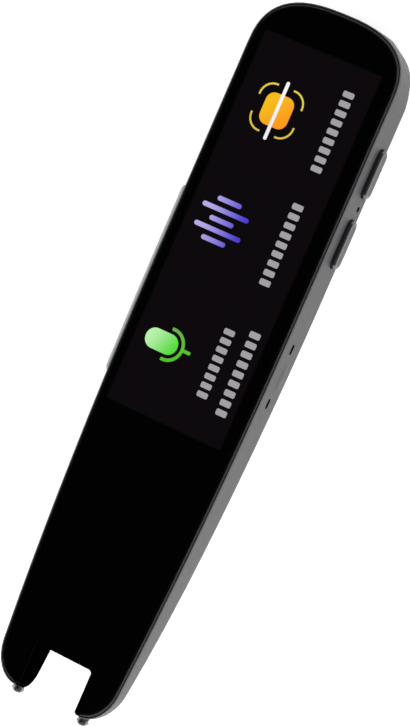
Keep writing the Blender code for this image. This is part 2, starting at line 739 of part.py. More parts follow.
def front_frame():
    """The tray under the glass, with the rim that shows round it and a tongue into the shell."""
    tongue = WALL + FIT_GAP
    rim_top = at_depth(RIM_DROP)
    levels = (
        (RIM_WIDTH, WEB_TOP),
        (RIM_WIDTH, rim_top),
        (RIM_CHAMFER, rim_top),
        (0.0, rim_top - RIM_CHAMFER),
        (0.0, rim_top - RIM_SIDE),
        (RIM_RECESS, rim_top - RIM_SIDE - RIM_CHAMFER),
        (RIM_RECESS, WEB_BOTTOM),
        (tongue, WEB_BOTTOM),
        (tongue, TONGUE_BOTTOM),
        (tongue + TONGUE, TONGUE_BOTTOM),
        (tongue + TONGUE, TRAY_BOTTOM),
    )
    rings = [outline_ring(inset, height) for inset, height in levels]
    frame = piece("front_frame", joined_rings(rings, strips=True), "dark rim")
    low = (PANEL_LEFT - SEAT_GAP, from_top(PANEL_END + SEAT_GAP), TONGUE_BOTTOM - OVERRUN)
    high = (PANEL_RIGHT + SEAT_GAP, from_top(PANEL_START - SEAT_GAP), BODY_THICKNESS)
    combine(frame, slab("pocket", low, high, PANEL_CORNER))
    combine(frame, notch_cutter(FRAME_FORK_HALF, INSERT_END + SEAT_GAP, FORK_CORNER))
    for side in (-1, 1):
        near, far = sorted((side * (LINING - EMBED), side * (PRONG_BLOCK_HALF + SEAT_GAP)))
        low = (near, from_tip(0.0) - OVERRUN, TONGUE_BOTTOM - OVERRUN)
        high = (far, from_tip(PRONG_BLOCK_LENGTH + SEAT_GAP), WEB_BOTTOM)
        combine(frame, block("relief", low, high))
    combine(frame, lip_relief())


def cover_glass():
    """The front glass, rounded down to its edge and notched at the tip."""
    rings = [outline_ring(GLASS_INSET, GLASS_BACK)]
    for step in range(ARC_STEPS + 1):
        angle = step / ARC_STEPS * pi / 2
        inset = GLASS_INSET + GLASS_EDGE_WIDTH * (1 - cos(angle))
        rings.append(outline_ring(inset, at_depth(GLASS_EDGE_DROP * (1 - sin(angle)))))
    glass = piece("cover_glass", joined_rings(rings, strips=True), "black glass")
    combine(glass, notch_cutter(FORK_HALF_WIDTH, FORK_DEPTH, FORK_CORNER))
    combine(glass, lip_relief())


def strip_shape(sink, gap, proud, finish=None):
    """The side strip's shape, or its groove: this far into the wall, grown by a gap, this proud."""
    y = from_top(STRIP_DISTANCE)
    high_z = at_depth(STRIP_FRONT_DEPTH)
    low = (y - STRIP_LENGTH / 2 - gap, high_z - STRIP_HEIGHT - gap)
    high = (y + STRIP_LENGTH / 2 + gap, high_z + gap)
    inner = -HALF_WIDTH + sink
    outer = -HALF_WIDTH - proud
    rounding = 0.0 if gap else STRIP_ROUNDING
    rings = [strip_ring(low, high, 0.0, inner)]
    for step in range(ARC_STEPS + 1) if rounding else (ARC_STEPS,):
        angle = step / ARC_STEPS * pi / 2
        inset, drop = rounding * (1 - cos(angle)), rounding * (1 - sin(angle))
        rings.append(strip_ring(low, high, inset, outer + drop))
    return piece("side_strip", joined_rings(rings), finish)


def strip_ring(low, high, inset, x):
    """A ring of the strip's side view, moved inwards, at this X where the wall is widest."""
    corner = STRIP_ROUNDING * 2 - inset
    near, far = (low[0] + inset, low[1] + inset), (high[0] - inset, high[1] - inset)
    plan = rounded_rectangle(near, far, corner, STRIP_SPLITS)
    return [Vector((x + HALF_WIDTH - half_width(TOP_Y - a), a, b)) for a, b in plan]


# Keys and switches
def key_ring(distance, grow, x):
    """A ring of a key's oblong outline, grown by this much, at this X."""
    half_length, half_height = KEY_LENGTH / 2 + grow, KEY_HEIGHT / 2 + grow
    y = from_top(distance)
    low, high = (y - half_length, KEY_Z - half_height), (y + half_length, KEY_Z + half_height)
    return [Vector((x, a, b)) for a, b in rounded_rectangle(low, high, half_height)]


def key_window(distance):
    """A cutter for the opening that a key slides in."""
    ends = (HALF_WIDTH + OVERRUN, HALF_WIDTH - WALL - EMBED)
    return piece("window", joined_rings([key_ring(distance, KEY_GAP, x) for x in ends]))


def key(name, distance):
    """An oblong key with a crowned outer edge, a flange inside the wall and a nub for its switch."""
    inner = HALF_WIDTH - WALL - FIT_GAP
    outer = HALF_WIDTH + KEY_PROUD
    rings = [key_ring(distance, KEY_FLANGE, inner - KEY_FLANGE_THICKNESS)]
    rings.append(key_ring(distance, KEY_FLANGE, inner))
    rings.append(key_ring(distance, 0.0, inner))
    for step in range(ARC_STEPS + 1):
        angle = step / ARC_STEPS * pi / 2
        place = outer - KEY_ROUNDING * (1 - sin(angle))
        rings.append(key_ring(distance, KEY_ROUNDING * (cos(angle) - 1), place))
    origin = (HALF_WIDTH, from_top(distance), KEY_Z)
    body = piece(name, joined_rings(rings), "grey key", origin)
    nub_x = inner - KEY_FLANGE_THICKNESS + EMBED / 2
    start, length = (nub_x, from_top(distance), KEY_Z), KEY_NUB_LENGTH + EMBED / 2
    combine(body, rod("nub", start, (-1, 0, 0), KEY_NUB_RADIUS, length), "UNION")


def key_switch(name, distance):
    """The side-push switch behind a key, on the back of the main board."""
    nub_end = HALF_WIDTH - WALL - FIT_GAP - KEY_FLANGE_THICKNESS - KEY_NUB_LENGTH
    face = nub_end - KEY_TRAVEL - GLUE_GAP
    y = from_top(distance)
    low = (face - SWITCH_WIDTH, y - SWITCH_LENGTH / 2, KEY_Z - KEY_HEIGHT / 2 + EMBED)
    high = (face, y + SWITCH_LENGTH / 2, BOARD_BACK - SEAT_GAP)
    slab(name, low, high, SWITCH_CORNER, "black plastic")


# Inner pieces behind the screen
def screen():
    """The panel, and the backlight under it."""
    low = (PANEL_LEFT, from_top(PANEL_END), PANEL_BOTTOM)
    high = (PANEL_RIGHT, from_top(PANEL_START), PANEL_TOP)
    slab("lcd_panel", low, high, PANEL_CORNER, "screen")
    low = (PANEL_LEFT + BACKLIGHT_BORDER, low[1] + BACKLIGHT_BORDER, BACKLIGHT_BOTTOM)
    high = (PANEL_RIGHT - BACKLIGHT_BORDER, high[1] - BACKLIGHT_BORDER, BACKLIGHT_TOP)
    slab("backlight", low, high, PANEL_CORNER, "white plastic")


def mid_frame():
    """The plate that the screen lies on and the boards hang from, cut off before the camera."""
    inset = WALL + FIT_GAP
    rings = [outline_ring(inset, height) for height in (MID_TOP, MID_BOTTOM)]
    plate = piece("mid_frame", joined_rings(rings, strips=True), "magnesium")
    low = (-BODY_WIDTH, from_tip(0.0) - OVERRUN, MID_BOTTOM - OVERRUN)
    high = (BODY_WIDTH, from_tip(MID_REACH), MID_TOP + OVERRUN)
    combine(plate, block("end", low, high))
    for side in (-1, 1):
        centre = side * SPRING_OFFSET
        low = (centre - TAB_WIDTH / 2, from_tip(TAB_FRONT), MID_BOTTOM - TAB_DROP)
        high = (centre + TAB_WIDTH / 2, from_tip(TAB_FRONT) + TAB_LENGTH, MID_TOP - MID_THICKNESS / 2)
        combine(plate, block("tab", low, high), "UNION")
    bore, length = SCREW_RADIUS + SCREW_CLEARANCE, MID_THICKNESS + OVERRUN * 2
    for x, y in screw_places().values():
        combine(plate, rod("bore", (x, y, MID_BOTTOM - OVERRUN), (0, 0, 1), bore, length))


def main_board():
    """The main board, with a neck at the top for the charging inlet."""
    half = HALF_WIDTH - BOARD_SIDE_MARGIN
    low = (-half, from_top(BOARD_END), BOARD_BACK)
    high = (half, from_top(BOARD_TOP), BOARD_FACE)
    board = slab("main_board", low, high, BOARD_CORNER, "board")
    neck_low = (-BOARD_NECK_WIDTH / 2, from_top(BOARD_TOP) - BOARD_CORNER, BOARD_BACK)
    neck_high = (BOARD_NECK_WIDTH / 2, from_top(BOARD_NECK_TOP), BOARD_FACE)
    combine(board, block("neck", neck_low, neck_high), "UNION")


def shield_can():
    """The steel can over the processor, on the back of the board."""
    top = BOARD_BACK - SEAT_GAP
    low = (-SHIELD_WIDTH / 2, from_top(SHIELD_TOP + SHIELD_LENGTH), top - SHIELD_HEIGHT)
    high = (SHIELD_WIDTH / 2, from_top(SHIELD_TOP), top)
    slab("shield_can", low, high, SHIELD_CORNER, "steel")


INLET_Z = BOARD_BACK - SEAT_GAP - INLET_HEIGHT / 2


def inlet_shape(half_across, half_height, start, end, name="inlet", finish=None):
    """An oblong bar along Y, from one distance to another, centred on the inlet."""
    low, high = (-half_across, INLET_Z - half_height), (half_across, INLET_Z + half_height)
    plan = rounded_rectangle(low, high, half_height * ROUND_END_SHARE)
    rings = [[Vector((a, from_top(distance), b)) for a, b in plan] for distance in (start, end)]
    return piece(name, joined_rings(rings), finish)


def charging_inlet():
    """The inlet's steel shell, open at its mouth, and the tongue inside it."""
    half_across, half_height = INLET_WIDTH / 2, INLET_HEIGHT / 2
    start, end = INLET_SETBACK, INLET_SETBACK + INLET_LENGTH
    shell = inlet_shape(half_across, half_height, start, end, "usb_c_shell", "steel")
    room = (half_across - INLET_WALL, half_height - INLET_WALL)
    combine(shell, inlet_shape(*room, start - OVERRUN, end - INLET_WALL))
    half_across, half_height = INLET_TONGUE_WIDTH / 2, INLET_TONGUE_HEIGHT / 2
    low = (-half_across, from_top(end - INLET_WALL - SEAT_GAP), INLET_Z - half_height)
    high = (half_across, from_top(start + INLET_TONGUE_SETBACK), INLET_Z + half_height)
    slab("usb_c_tongue", low, high, INLET_WALL, "black plastic")


def battery():
    """The flat battery between the main board and the tip board."""
    bottom = back_height(BATTERY_DISTANCE) + FLOOR + SEAT_GAP
    low = (-BATTERY_HALF, from_top(BATTERY_DISTANCE), bottom)
    high = (BATTERY_HALF, from_top(BATTERY_TOP), MID_BOTTOM - SEAT_GAP)
    bevelled(slab("battery", low, high, BATTERY_CORNER, "pouch"), BATTERY_EDGE)


def speaker():
    """The speaker box over the slots in the back."""
    y = from_top(SPEAKER_DISTANCE)
    bottom = FLOOR + SEAT_GAP
    low = (-SPEAKER_WIDTH / 2, y - SPEAKER_LENGTH / 2, bottom)
    high = (SPEAKER_WIDTH / 2, y + SPEAKER_LENGTH / 2, bottom + SPEAKER_HEIGHT)
    slab("speaker", low, high, SPEAKER_CORNER, "black plastic")


def microphone():
    """The microphone capsule behind its hole in the wall."""
    start = (HALF_WIDTH - WALL - SEAT_GAP, from_top(MICROPHONE_DISTANCE), at_depth(MICROPHONE_DEPTH))
    rod("microphone", start, (-1, 0, 0), MICROPHONE_RADIUS, MICROPHONE_HEIGHT, ROUND_SIDES, "steel")


# The tip
def tip_insert():
    """The black lining of the fork, with the scan window's opening and the bores for the shanks."""
    outside = joined_rings(body_rings(0.0, 0.0, INSERT_RIM), strips=True)
    insert = piece("tip_insert", outside, "black plastic")
    low_y, low_z = from_tip(0.0) - OVERRUN, -OVERRUN
    high = (PRONG_BLOCK_HALF, from_tip(PRONG_BLOCK_LENGTH), BODY_THICKNESS)
    region = block("region", (-PRONG_BLOCK_HALF, low_y, low_z), high)
    high = (LINING, from_tip(INSERT_END), BODY_THICKNESS + OVERRUN)
    lining = block("lining", (-LINING, low_y - OVERRUN, low_z - OVERRUN), high)
    combine(region, lining, "UNION")
    combine(insert, region, "INTERSECT")
    heights = (BODY_THICKNESS, -OVERRUN)
    rings = [notch_ring(insert_half_width(z), INSERT_NOTCH, FORK_CORNER, z) for z in heights]
    combine(insert, piece("notch", joined_rings(rings)))
    combine(insert, lip_relief())
    for side in (-1, 1):
        near, far = sorted((side * LINING, side * (PRONG_BLOCK_HALF + OVERRUN)))
        high = (far, from_tip(INSERT_END) + OVERRUN, BODY_THICKNESS)
        combine(insert, block("step", (near, low_y, INSERT_TOP), high))
        start = (side * FOOT_X, from_tip(0.0) - OVERRUN, LEG_Z)
        length = PRONG_BLOCK_LENGTH + OVERRUN * 2
        combine(insert, rod("bore", start, (0, 1, 0), SHANK_BORE, length, ROUND_SIDES))
    half, tall = WINDOW_WIDTH / 2, WINDOW_HEIGHT / 2
    low = (-half, from_tip(INSERT_NOTCH) - OVERRUN, CAMERA_Z - tall)
    high = (half, from_tip(INSERT_END) + OVERRUN, CAMERA_Z + tall)
    combine(insert, block("opening", low, high))


def scan_window():
    """The clear pane behind the opening in the fork's ceiling."""
    half, tall = WINDOW_WIDTH / 2 + WINDOW_LEDGE, WINDOW_HEIGHT / 2 + WINDOW_LEDGE / 2
    low = (-half, from_tip(WINDOW_FRONT), CAMERA_Z - tall)
    high = (half, from_tip(WINDOW_REACH), CAMERA_Z + tall)
    block("scan_window", low, high, "clear plastic")


def camera():
    """The camera's housing with its flared hood, the lens, the sensor's board and two lamps."""
    half = CAMERA_WIDTH / 2
    front, back = from_tip(CAMERA_FRONT), from_tip(CAMERA_REACH)
    low, high = (-half, front, CAMERA_BOTTOM), (half, back, CAMERA_TOP)
    housing = block("camera_housing", low, high, "black plastic")
    bevelled(housing, CAMERA_BEVEL, 1)
    mouth = WINDOW_HEIGHT / 2
    hood_rings = []
    for y, across, tall in (
        (front - OVERRUN, CAMERA_HOOD_HALF_WIDTH, mouth),
        (front + CAMERA_HOOD_LENGTH, LENS_RADIUS, LENS_RADIUS),
    ):
        corner = LENS_RADIUS / 2
        plan = rounded_rectangle((-across, CAMERA_Z - tall), (across, CAMERA_Z + tall), corner)
        hood_rings.append([Vector((a, y, b)) for a, b in plan])
    combine(housing, piece("hood", joined_rings(hood_rings)))
    lens_y = front + CAMERA_HOOD_LENGTH - LENS_LEAD
    bore_start = (0.0, lens_y - LENS_LEAD, CAMERA_Z)
    combine(housing, rod("bore", bore_start, (0, 1, 0), LENS_RADIUS + GLUE_GAP, CAMERA_LENGTH))
    profile = [(LENS_EDGE_RADIUS, -LENS_BULGE)]
    profile += [(LENS_RADIUS, 0.0), (LENS_RADIUS, LENS_LENGTH)]
    turned("camera_lens", (0.0, lens_y, CAMERA_Z), (0, 1, 0), profile, ROUND_SIDES, "lens glass")
    for name, side in (("left_lamp", -1), ("right_lamp", 1)):
        lamp_size = LAMP_SIZE / 2
        x = side * LAMP_OFFSET
        pocket = lamp_size + GLUE_GAP
        low = (x - pocket, front - OVERRUN, CAMERA_Z - pocket)
        high = (x + pocket, front + LAMP_THICKNESS + FIT_GAP, CAMERA_Z + pocket)
        combine(housing, block("pocket", low, high))
        low = (x - lamp_size, front, CAMERA_Z - lamp_size)
        high = (x + lamp_size, front + LAMP_THICKNESS, CAMERA_Z + lamp_size)
        block(name, low, high, "white plastic")
    low = (-half, from_tip(SENSOR_FRONT), CAMERA_BOTTOM)
    high = (half, from_tip(SENSOR_REACH), CAMERA_TOP)
    block("sensor_board", low, high, "board")


def trigger_yoke():
    """Crossbar, finger, two legs and their round shanks with the pins that carry the feet."""
    half_leg = LEG_THICKNESS / 2
    half_bar = CROSSBAR_THICKNESS / 2
    outer = FOOT_X + LEG_WIDTH / 2 + GLUE_GAP
    bar_low = (-outer, from_tip(CROSSBAR_FRONT), LEG_Z - half_bar)
    bar_high = (outer, from_tip(CROSSBAR_REACH), LEG_Z + half_bar)
    yoke = block("trigger_yoke", bar_low, bar_high, "black plastic")
    finger_low = (-FINGER_WIDTH / 2, from_tip(CROSSBAR_REACH) - EMBED, LEG_Z - half_leg)
    finger_high = (FINGER_WIDTH / 2, from_tip(FINGER_REACH), LEG_Z + half_leg)
    combine(yoke, block("finger", finger_low, finger_high), "UNION")
    shank_start = SHANK_LENGTH - SHANK_PROUD
    for side in (-1, 1):
        x = side * FOOT_X
        low = (x - LEG_WIDTH / 2, from_tip(shank_start) - EMBED, LEG_Z - half_leg)
        high = (x + LEG_WIDTH / 2, from_tip(CROSSBAR_FRONT) + EMBED, LEG_Z + half_leg)
        combine(yoke, block("leg", low, high), "UNION")
        profile = (
            (SHANK_RADIUS, 0.0),
            (SHANK_RADIUS, SHANK_LENGTH),
            (FOOT_PIN_RADIUS, SHANK_LENGTH),
            (FOOT_PIN_RADIUS, SHANK_LENGTH + FOOT_PIN_LENGTH),
        )
        start = (x, from_tip(shank_start), LEG_Z)
        combine(yoke, turned("shank", start, (0, -1, 0), profile, ROUND_SIDES), "UNION")
    move_origin(yoke, (0.0, from_tip(CROSSBAR_FRONT), LEG_Z))


def move_origin(thing, origin):
    """Move an object's origin without moving its shape."""
    thing.data.transform(Matrix.Translation(-Vector(origin)))
    thing.location = origin


def feet():
    """The two clear domed feet, each bored for the pin of its shank."""
    back = -SHANK_PROUD - GLUE_GAP
    for name, side in (("left_foot", -1), ("right_foot", 1)):
        start = Vector((side * FOOT_X, from_tip(back), LEG_Z))
        profile = [(SHANK_RADIUS, 0.0)]
        for step in range(ARC_STEPS):
            angle = step / ARC_STEPS * pi / 2
            along = FOOT_LENGTH - SHANK_RADIUS * (1 - sin(angle))
            profile.append((SHANK_RADIUS * cos(angle), along))
        profile.append((FOOT_FLAT_RADIUS, FOOT_LENGTH))
        foot = turned(name, start, (0, -1, 0), profile, ROUND_SIDES, "clear plastic", start)
        socket = FOOT_PIN_RADIUS + GLUE_GAP
        depth = FOOT_PIN_LENGTH + OVERRUN
        bore_start = start + Vector((0.0, OVERRUN, 0.0))
        combine(foot, rod("socket", bore_start, (0, -1, 0), socket, depth))


def springs():
    """Two coil springs between the crossbar and the mid frame's tabs."""
    pitch = (SPRING_LENGTH - SPRING_WIRE * 2) / SPRING_STEPS
    for name, side in (("left_spring", -1), ("right_spring", 1)):
        origin = Vector((side * SPRING_OFFSET, from_tip(SPRING_FRONT), LEG_Z))
        rings = []
        for step in range(SPRING_STEPS + 1):
            turn = 2 * pi * SPRING_TURNS * step / SPRING_STEPS
            outward = Vector((cos(turn), 0.0, sin(turn)))
            centre = origin + outward * SPRING_RADIUS + Vector((0.0, SPRING_WIRE + pitch * step, 0.0))
            ring = []
            for corner in range(SPRING_SIDES):
                angle = 2 * pi * corner / SPRING_SIDES
                along = Vector((0.0, sin(angle), 0.0))
                ring.append(centre + (outward * cos(angle) + along) * SPRING_WIRE)
            rings.append(ring)
        piece(name, joined_rings(rings), "steel", origin)


def tip_board():
    """The small board under the trigger switch, the switch, and the ribbon to the main board."""
    switch_z = LEG_Z - LEG_THICKNESS / 2 - GLUE_GAP
    top = switch_z - SEAT_GAP
    front = from_tip(TRIGGER_SWITCH_FRONT)
    low = (-TRIGGER_SWITCH_WIDTH / 2, front, switch_z)
    high = (TRIGGER_SWITCH_WIDTH / 2, front + TRIGGER_SWITCH_LENGTH, LEG_Z + LEG_THICKNESS / 2)
    slab("trigger_switch", low, high, SWITCH_CORNER, "black plastic")
    low = (-TIP_BOARD_HALF, front, top - TIP_BOARD_THICKNESS)
    high = (TIP_BOARD_HALF, front + TIP_BOARD_LENGTH, top)
    slab("tip_board", low, high, TIP_BOARD_CORNER, "board")
    ribbon(top - TIP_BOARD_THICKNESS - FIT_GAP)


def ribbon(end_z):
    """The flat ribbon beside the battery, from under the main board to under the tip board."""
    inner = -BATTERY_HALF - FIT_GAP
    outer = inner - RIBBON_WIDTH
    start_z = BOARD_BACK - FIT_GAP
    high_y = from_tip(BOSS_LOW_REACH - BOSS_RADIUS - RIBBON_BOSS_GAP)
    low_y = high_y - RIBBON_WIDTH
    stations = [((outer, inner), (from_top(BOARD_END - RIBBON_OVERLAP),) * 2, start_z)]
    for step in range(RIBBON_STEPS + 1):
        y = from_top(BATTERY_TOP + RIBBON_RAMP * step / RIBBON_STEPS)
        stations.append(((outer, inner), (y, y), eased(start_z, end_z, step / RIBBON_STEPS)))
    stations.append(((outer, inner), (low_y, high_y), end_z))
    stations.append(((RIBBON_OVERLAP - TIP_BOARD_HALF,) * 2, (low_y, high_y), end_z))
    rings = []
    for (near_x, far_x), (near_y, far_y), top in stations:
        near, far = Vector((near_x, near_y, top)), Vector((far_x, far_y, top))
        drop = Vector((0.0, 0.0, -RIBBON_THICKNESS))
        rings.append([near, far, far + drop, near + drop])
    piece("camera_flex", joined_rings(rings), "ribbon")


def screws():
    """The four screws, with their heads on the mid frame."""
    for name, (x, y) in screw_places().items():
        start = (x, y, MID_TOP + GLUE_GAP + SCREW_HEAD_HEIGHT)
        neck = SCREW_HEAD_HEIGHT
        profile = (
            (SCREW_HEAD_RADIUS, 0.0),
            (SCREW_HEAD_RADIUS, neck),
            (SCREW_RADIUS, neck),
            (SCREW_RADIUS, neck + SCREW_LENGTH),
        )
        turned(name, start, (0, 0, -1), profile, SMALL_SIDES, "steel")


def clear_scene():
    """Remove what the scene holds already."""
    for thing in list(bpy.data.objects):
        bpy.data.objects.remove(thing)


def build():
    """Make every piece of the pen."""
    clear_scene()
    rear_shell()
    front_frame()
    cover_glass()
    strip_shape(STRIP_SINK - GLUE_GAP, 0.0, STRIP_PROUD, "pale plastic")
    key("power_button", POWER_DISTANCE)
    key("home_button", HOME_DISTANCE)
    key_switch("power_switch", POWER_DISTANCE)
    key_switch("home_switch", HOME_DISTANCE)
    screen()
    mid_frame()
    main_board()
    shield_can()
    charging_inlet()
    battery()
    speaker()
    microphone()
    tip_insert()
    scan_window()
    camera()
    trigger_yoke()
    feet()
    springs()
    tip_board()
    screws()


build()
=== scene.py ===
"""The looks of a pocket scanning pen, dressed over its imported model.

The pen lies on its back. +Z leaves the glass, +Y points to the round top end and +X is the side
with the two keys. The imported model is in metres. Sizes in the classes here are in millimetres and
degrees where they don't say otherwise, and the function mm turns millimetres to metres.
"""

import logging
from collections.abc import Callable, Iterable
from dataclasses import dataclass
from enum import Enum
from math import cos, pi, radians, sin
from typing import Self

import bmesh
import bpy
from mathutils import Matrix, Vector


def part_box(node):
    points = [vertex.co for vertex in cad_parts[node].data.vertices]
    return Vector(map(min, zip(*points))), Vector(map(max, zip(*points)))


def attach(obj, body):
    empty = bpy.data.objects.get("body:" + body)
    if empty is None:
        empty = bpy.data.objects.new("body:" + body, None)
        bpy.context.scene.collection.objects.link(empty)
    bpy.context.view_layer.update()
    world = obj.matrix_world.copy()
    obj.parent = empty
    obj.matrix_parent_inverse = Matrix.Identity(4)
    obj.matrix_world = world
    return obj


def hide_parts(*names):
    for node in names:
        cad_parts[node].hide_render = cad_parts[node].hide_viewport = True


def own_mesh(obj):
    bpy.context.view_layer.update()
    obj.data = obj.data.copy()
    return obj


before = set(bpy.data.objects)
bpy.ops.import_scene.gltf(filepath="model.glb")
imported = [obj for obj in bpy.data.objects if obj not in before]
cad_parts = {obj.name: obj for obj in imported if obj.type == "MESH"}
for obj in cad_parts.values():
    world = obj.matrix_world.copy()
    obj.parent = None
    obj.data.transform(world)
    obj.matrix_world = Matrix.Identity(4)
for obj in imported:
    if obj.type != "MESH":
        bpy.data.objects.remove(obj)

Triple = tuple[float, float, float]
Pair = tuple[float, float]
Pick = Callable[[Vector, Vector], bool]
Tree = bpy.types.NodeTree
Socket = bpy.types.NodeSocket
Inputs = dict[str | int, object]

LOG = logging.getLogger("pen")
PHOTO_LONG_SIDE = 726
SENSOR_LONG_SIDE = 36.0
BLACK = (0.0, 0.0, 0.0, 1.0)
WHITE = (1.0, 1.0, 1.0, 1.0)
# The Mix node's sockets when it mixes colours
SHARE, FIRST, SECOND, MIXED = 0, 6, 7, 2
# A direction runs along an axis when its share of that axis is over this
ALONG = 0.99
# How close a place is to a plane that it lies in, in millimetres
NEAR = 0.01


def mm(*values: float) -> Vector:
    """Turn millimetres into a vector in metres."""
    return Vector(values) * 0.001


def box_mm(node: str) -> tuple[Vector, Vector]:
    """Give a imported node's lowest and highest corners in millimetres."""
    low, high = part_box(node)
    return low * 1000, high * 1000


def is_upright(place: Vector, heading: Vector) -> bool:
    """Tell whether an edge stands up from the glass."""
    return abs(heading.z) > ALONG


def in_fork(place: Vector, edge: Pair) -> bool:
    """Tell whether a place is between the prongs, and past a line across the pen."""
    return abs(place.x) < edge[0] and place.y < edge[1]


def linear(code: str) -> tuple[float, float, float, float]:
    """Turn an sRGB hex colour into the linear one that a shader takes.

    Args:
        code: The colour as #RRGGBB.

    Returns:
        Linear red, green and blue, and an alpha of one.
    """
    shares = [int(code[place : place + 2], 16) / 255 for place in (1, 3, 5)]
    light = [s / 12.92 if s <= 0.04045 else ((s + 0.055) / 1.055) ** 2.4 for s in shares]
    return (light[0], light[1], light[2], 1.0)


def pattern(place: Socket, size: float, **more: float) -> Inputs:
    """Give a pattern its place, and the scale at which its features are this many millimetres."""
    return {"Vector": place, "Scale": 1000.0 / size, **more}


def wire(tree: Tree, node: bpy.types.Node, inputs: Inputs) -> None:
    """Give a node's inputs what they take.

    Args:
        tree: The node tree.
        node: The node.
        inputs: What each input gets, by name or number: a socket to link, or a plain value.
    """
    for key, value in inputs.items():
        if isinstance(value, Socket):
            tree.links.new(value, node.inputs[key])
        else:
            node.inputs[key].default_value = value


def add_node(
    tree: Tree, kind: str, inputs: Inputs | None = None, give: str | int = 0, **settings: object
) -> Socket:
    """Add a shader node, set it up and wire its inputs.

    Args:
        tree: The node tree that it joins.
        kind: Blender's name of the node's type, after ShaderNode.
        inputs: What each input gets, as for wire.
        give: The output that is wanted, by name or number.
        settings: The node's own settings.

    Returns:
        The wanted output.
    """
    node = tree.nodes.new(f"ShaderNode{kind}")
    for key, value in settings.items():
        setattr(node, key, value)
    wire(tree, node, inputs or {})
    return node.outputs[give]


def band(tree: Tree, value: Socket, middle: float, half: float, soft: float) -> Socket:
    """Draw a band along one axis, with soft edges.

    Args:
        tree: The node tree that it joins.
        value: The coordinate along the axis, in metres.
        middle: The middle of the band.
        half: Half the band's width.
        soft: The width of its soft edge, inside that half.

    Returns:
        One inside the band and none outside it.
    """
    away = add_node(tree, "Math", {0: value, 1: middle * 0.001}, operation="SUBTRACT")
    size = add_node(tree, "Math", {0: away}, operation="ABSOLUTE")
    fade = {"From Min": (half - soft) * 0.001, "From Max": half * 0.001, "To Min": 1.0, "To Max": 0.0}
    return add_node(tree, "MapRange", {"Value": size, **fade})


@dataclass(frozen=True)
class Finish:
    """A surface finish, which makes one Blender material the first time that it is asked for."""

    title: str
    colour: str
    roughness: float

    def material(self) -> bpy.types.Material:
        """Give the finish's material."""
        return bpy.data.materials.get(self.title) or self.made()

    def made(self) -> bpy.types.Material:
        """Make the material: the plain shader, and what the finish adds to it.

        Returns:
            The new material.
        """
        material = bpy.data.materials.new(self.title)
        material.use_nodes = True
        tree = material.node_tree
        shader = tree.nodes["Principled BSDF"]
        wire(tree, shader, {"Base Color": linear(self.colour), "Roughness": self.roughness})
        given = self.dress(tree, add_node(tree, "TexCoord", give="Object"))
        if "Tint" in given:
            share, first, second = given.pop("Tint")
            run = {SHARE: share, FIRST: linear(first), SECOND: linear(second)}
            given["Base Color"] = add_node(tree, "Mix", run, MIXED, data_type="RGBA")
        if "Relief" in given:
            height, strength, depth = given.pop("Relief")
            bump = {"Height": height, "Strength": strength, "Distance": depth * 0.001}
            given["Normal"] = add_node(tree, "Bump", bump)
        wire(tree, shader, given)
        return material

    def gloss(self, value: Socket, less: float, more: float) -> Inputs:
        """Spread the roughness over a pattern's values, from less to more than its own."""
        return {"Value": value, "To Min": self.roughness - less, "To Max": self.roughness + more}

    def dress(self, tree: Tree, place: Socket) -> Inputs:
        """Make the finish's own pattern.

        Args:
            tree: The material's nodes.
            place: The object's own coordinates, in metres.

        Returns:
            What the shader's inputs get from it, as for wire. Besides them, Tint is a share and
            the two colours that it runs between, and Relief is a height, its strength and depth.
        """
        raise NotImplementedError


@dataclass(frozen=True)
class SprayedPaint(Finish):
    """Two-coat satin paint sprayed on PC/ABS: a fine orange peel, with aluminium flake in it."""

    grain: float = 0.16
    peel: float = 1.1
    flake: float = 0.07
    lift: str = "#5E5E61"

    def dress(self, tree: Tree, place: Socket) -> Inputs:
        """Speckle the colour with flake, and roughen the coat with peel and grain.

        Args:
            tree: The material's nodes.
            place: The object's own coordinates.

        Returns:
            What the shader's inputs get.
        """
        flakes = add_node(tree, "TexVoronoi", pattern(place, self.flake), "Color")
        glint = add_node(tree, "MapRange", {"Value": flakes, "From Min": 0.55, "To Max": 0.5})
        peel = add_node(tree, "TexNoise", pattern(place, self.peel, Detail=1.0))
        grain = add_node(tree, "TexNoise", pattern(place, self.grain, Detail=2.0))
        relief = add_node(tree, "Math", {0: peel, 1: 2.0, 2: grain}, operation="MULTIPLY_ADD")
        return {
            "Tint": (glint, self.colour, self.lift),
            "Roughness": add_node(tree, "MapRange", self.gloss(peel, 0.05, 0.05)),
            "Relief": (relief, 0.25, 0.02),
        }


@dataclass(frozen=True)
class MouldedPlastic(Finish):
    """Injection-moulded plastic from a spark-eroded tool: an even fine pebble, duller in its dips."""

    pebble: float = 0.14
    depth: float = 0.012
    mottle: float = 6.0
    specular: float = 0.5

    def dress(self, tree: Tree, place: Socket) -> Inputs:
        """Add the tool's pebble as bump, and a faint flow mottle in the gloss.

        Args:
            tree: The material's nodes.
            place: The object's own coordinates.

        Returns:
            What the shader's inputs get.
        """
        pebble = add_node(tree, "TexVoronoi", pattern(place, self.pebble))
        mottle = add_node(tree, "TexNoise", pattern(place, self.mottle, Detail=3.0))
        dull = self.gloss(mottle, 0.04, 0.06) | {"From Min": 0.3, "From Max": 0.7}
        return {
            "Specular IOR Level": self.specular,
            "Roughness": add_node(tree, "MapRange", dull),
            "Relief": (pebble, 0.35, self.depth),
        }


